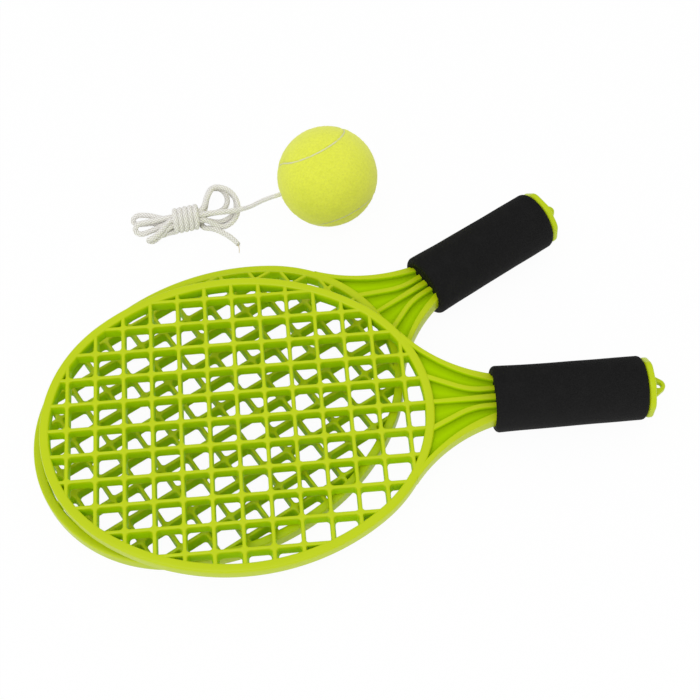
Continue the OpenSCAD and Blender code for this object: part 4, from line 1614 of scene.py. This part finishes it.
class MakeStage(bpy.types.Operator):
    """Make the camera, the lights and the floor"""

    bl_idname = "pole_tennis.stage"
    bl_label = "Stage"

    def execute(self, context):
        stage = settings().stage
        self.camera(stage)
        self.light(stage)
        self.floor(stage)
        self.sky(stage)
        context.scene.view_settings.view_transform = "Standard"
        return {"FINISHED"}

    def camera(self, stage):
        data = bpy.data.cameras.new("photo_camera")
        data.lens = stage.lens
        data.clip_start = CAMERA_NEAR
        camera = bpy.data.objects.new("photo_camera", data)
        at, aim = Vector(stage.camera_at), Vector(stage.camera_aim)
        ahead = (aim - at).normalized()
        right = ahead.cross(UP).normalized()
        up = right.cross(ahead)
        roll = stage.camera_roll
        across = right * math.cos(roll) + up * math.sin(roll)
        above = up * math.cos(roll) - right * math.sin(roll)
        turn = Matrix((across, above, -ahead)).transposed().to_4x4()
        camera.matrix_world = Matrix.Translation(at) @ turn
        bpy.context.scene.collection.objects.link(camera)
        bpy.context.scene.camera = camera

    def light(self, stage):
        data = bpy.data.lights.new("overhead_softbox", "AREA")
        data.shape = "DISK"
        data.size = stage.key_size
        data.energy = stage.key_power
        lamp = bpy.data.objects.new("overhead_softbox", data)
        at = Vector(stage.key_at)
        lamp.matrix_world = Matrix.Translation(at) @ (-at).to_track_quat("-Z", "Y").to_matrix().to_4x4()
        bpy.context.scene.collection.objects.link(lamp)

    def seen(self, shade):
        """1 for rays from the camera, a gloss or a glass, and 0 for the light that the set receives."""
        paths = [shade.add("ShaderNodeLightPath", output=name)
                 for name in ("Is Camera Ray", "Is Glossy Ray", "Is Transmission Ray")]
        return (paths[0] + paths[1] + paths[2]).at_most(1.0)

    def floor(self, stage):
        bm = bmesh.new()
        bmesh.ops.create_grid(bm, x_segments=1, y_segments=1, size=FLOOR_HALF)
        mesh = bpy.data.meshes.new("floor")
        bm.to_mesh(mesh)
        bm.free()
        floor = bpy.data.objects.new("floor", mesh)
        bpy.context.scene.collection.objects.link(floor)
        shade = Shade("floor_white")
        matt = shade.add("ShaderNodeBsdfDiffuse", {}, {"Color": tint(WHITE, FLOOR_GREY)})
        plain = shade.add("ShaderNodeEmission", {}, {"Color": tint(WHITE), "Strength": 1.0})
        share = self.seen(shade) * stage.floor_white
        both = shade.add("ShaderNodeMixShader", {}, {0: share, 1: matt, 2: plain})
        shade.add("ShaderNodeOutputMaterial", {}, {"Surface": both})
        mesh.materials.append(shade.owner)

    def sky(self, stage):
        """White for the camera, dim for glossy rays, and an even light for the rest."""
        shade = Shade("white_sky", world=True)
        bpy.context.scene.world = shade.owner
        gloss = shade.add("ShaderNodeLightPath", output="Is Glossy Ray")
        camera = shade.add("ShaderNodeLightPath", output="Is Camera Ray")
        strength = stage.sky + camera * (1 - stage.sky) - gloss * (stage.sky - stage.sky_gloss)
        back = shade.add("ShaderNodeBackground", {}, {"Color": tint(WHITE), "Strength": strength})
        shade.add("ShaderNodeOutputWorld", {}, {"Surface": back})


MAKERS = (MakeStage, MakeCord, MakeBall, MakeHeads, MakeHandles)


class PoleTennisPanel(bpy.types.Panel):
    """Lists the steps that build the set"""

    bl_idname = "VIEW3D_PT_pole_tennis"
    bl_label = "Pole tennis"
    bl_space_type = "VIEW_3D"
    bl_region_type = "UI"
    bl_category = "Pole tennis"

    def draw(self, context):
        for maker in MAKERS:
            self.layout.operator(maker.bl_idname)


CLASSES = (BatSizes, BallSizes, CordSizes, SetColours, StageSettings, PoleTennisSettings, *MAKERS,
           PoleTennisPanel)


def register():
    for cls in CLASSES:
        bpy.utils.register_class(cls)
    bpy.types.Scene.pole_tennis = PointerProperty(type=PoleTennisSettings)


def unregister():
    del bpy.types.Scene.pole_tennis
    for cls in reversed(CLASSES):
        bpy.utils.unregister_class(cls)


def main():
    register()
    bpy.ops.pole_tennis.stage()
    bpy.ops.pole_tennis.cord()
    bpy.ops.pole_tennis.ball()
    bpy.ops.pole_tennis.heads()
    bpy.ops.pole_tennis.handles()


if __name__ == "__main__":
    main()
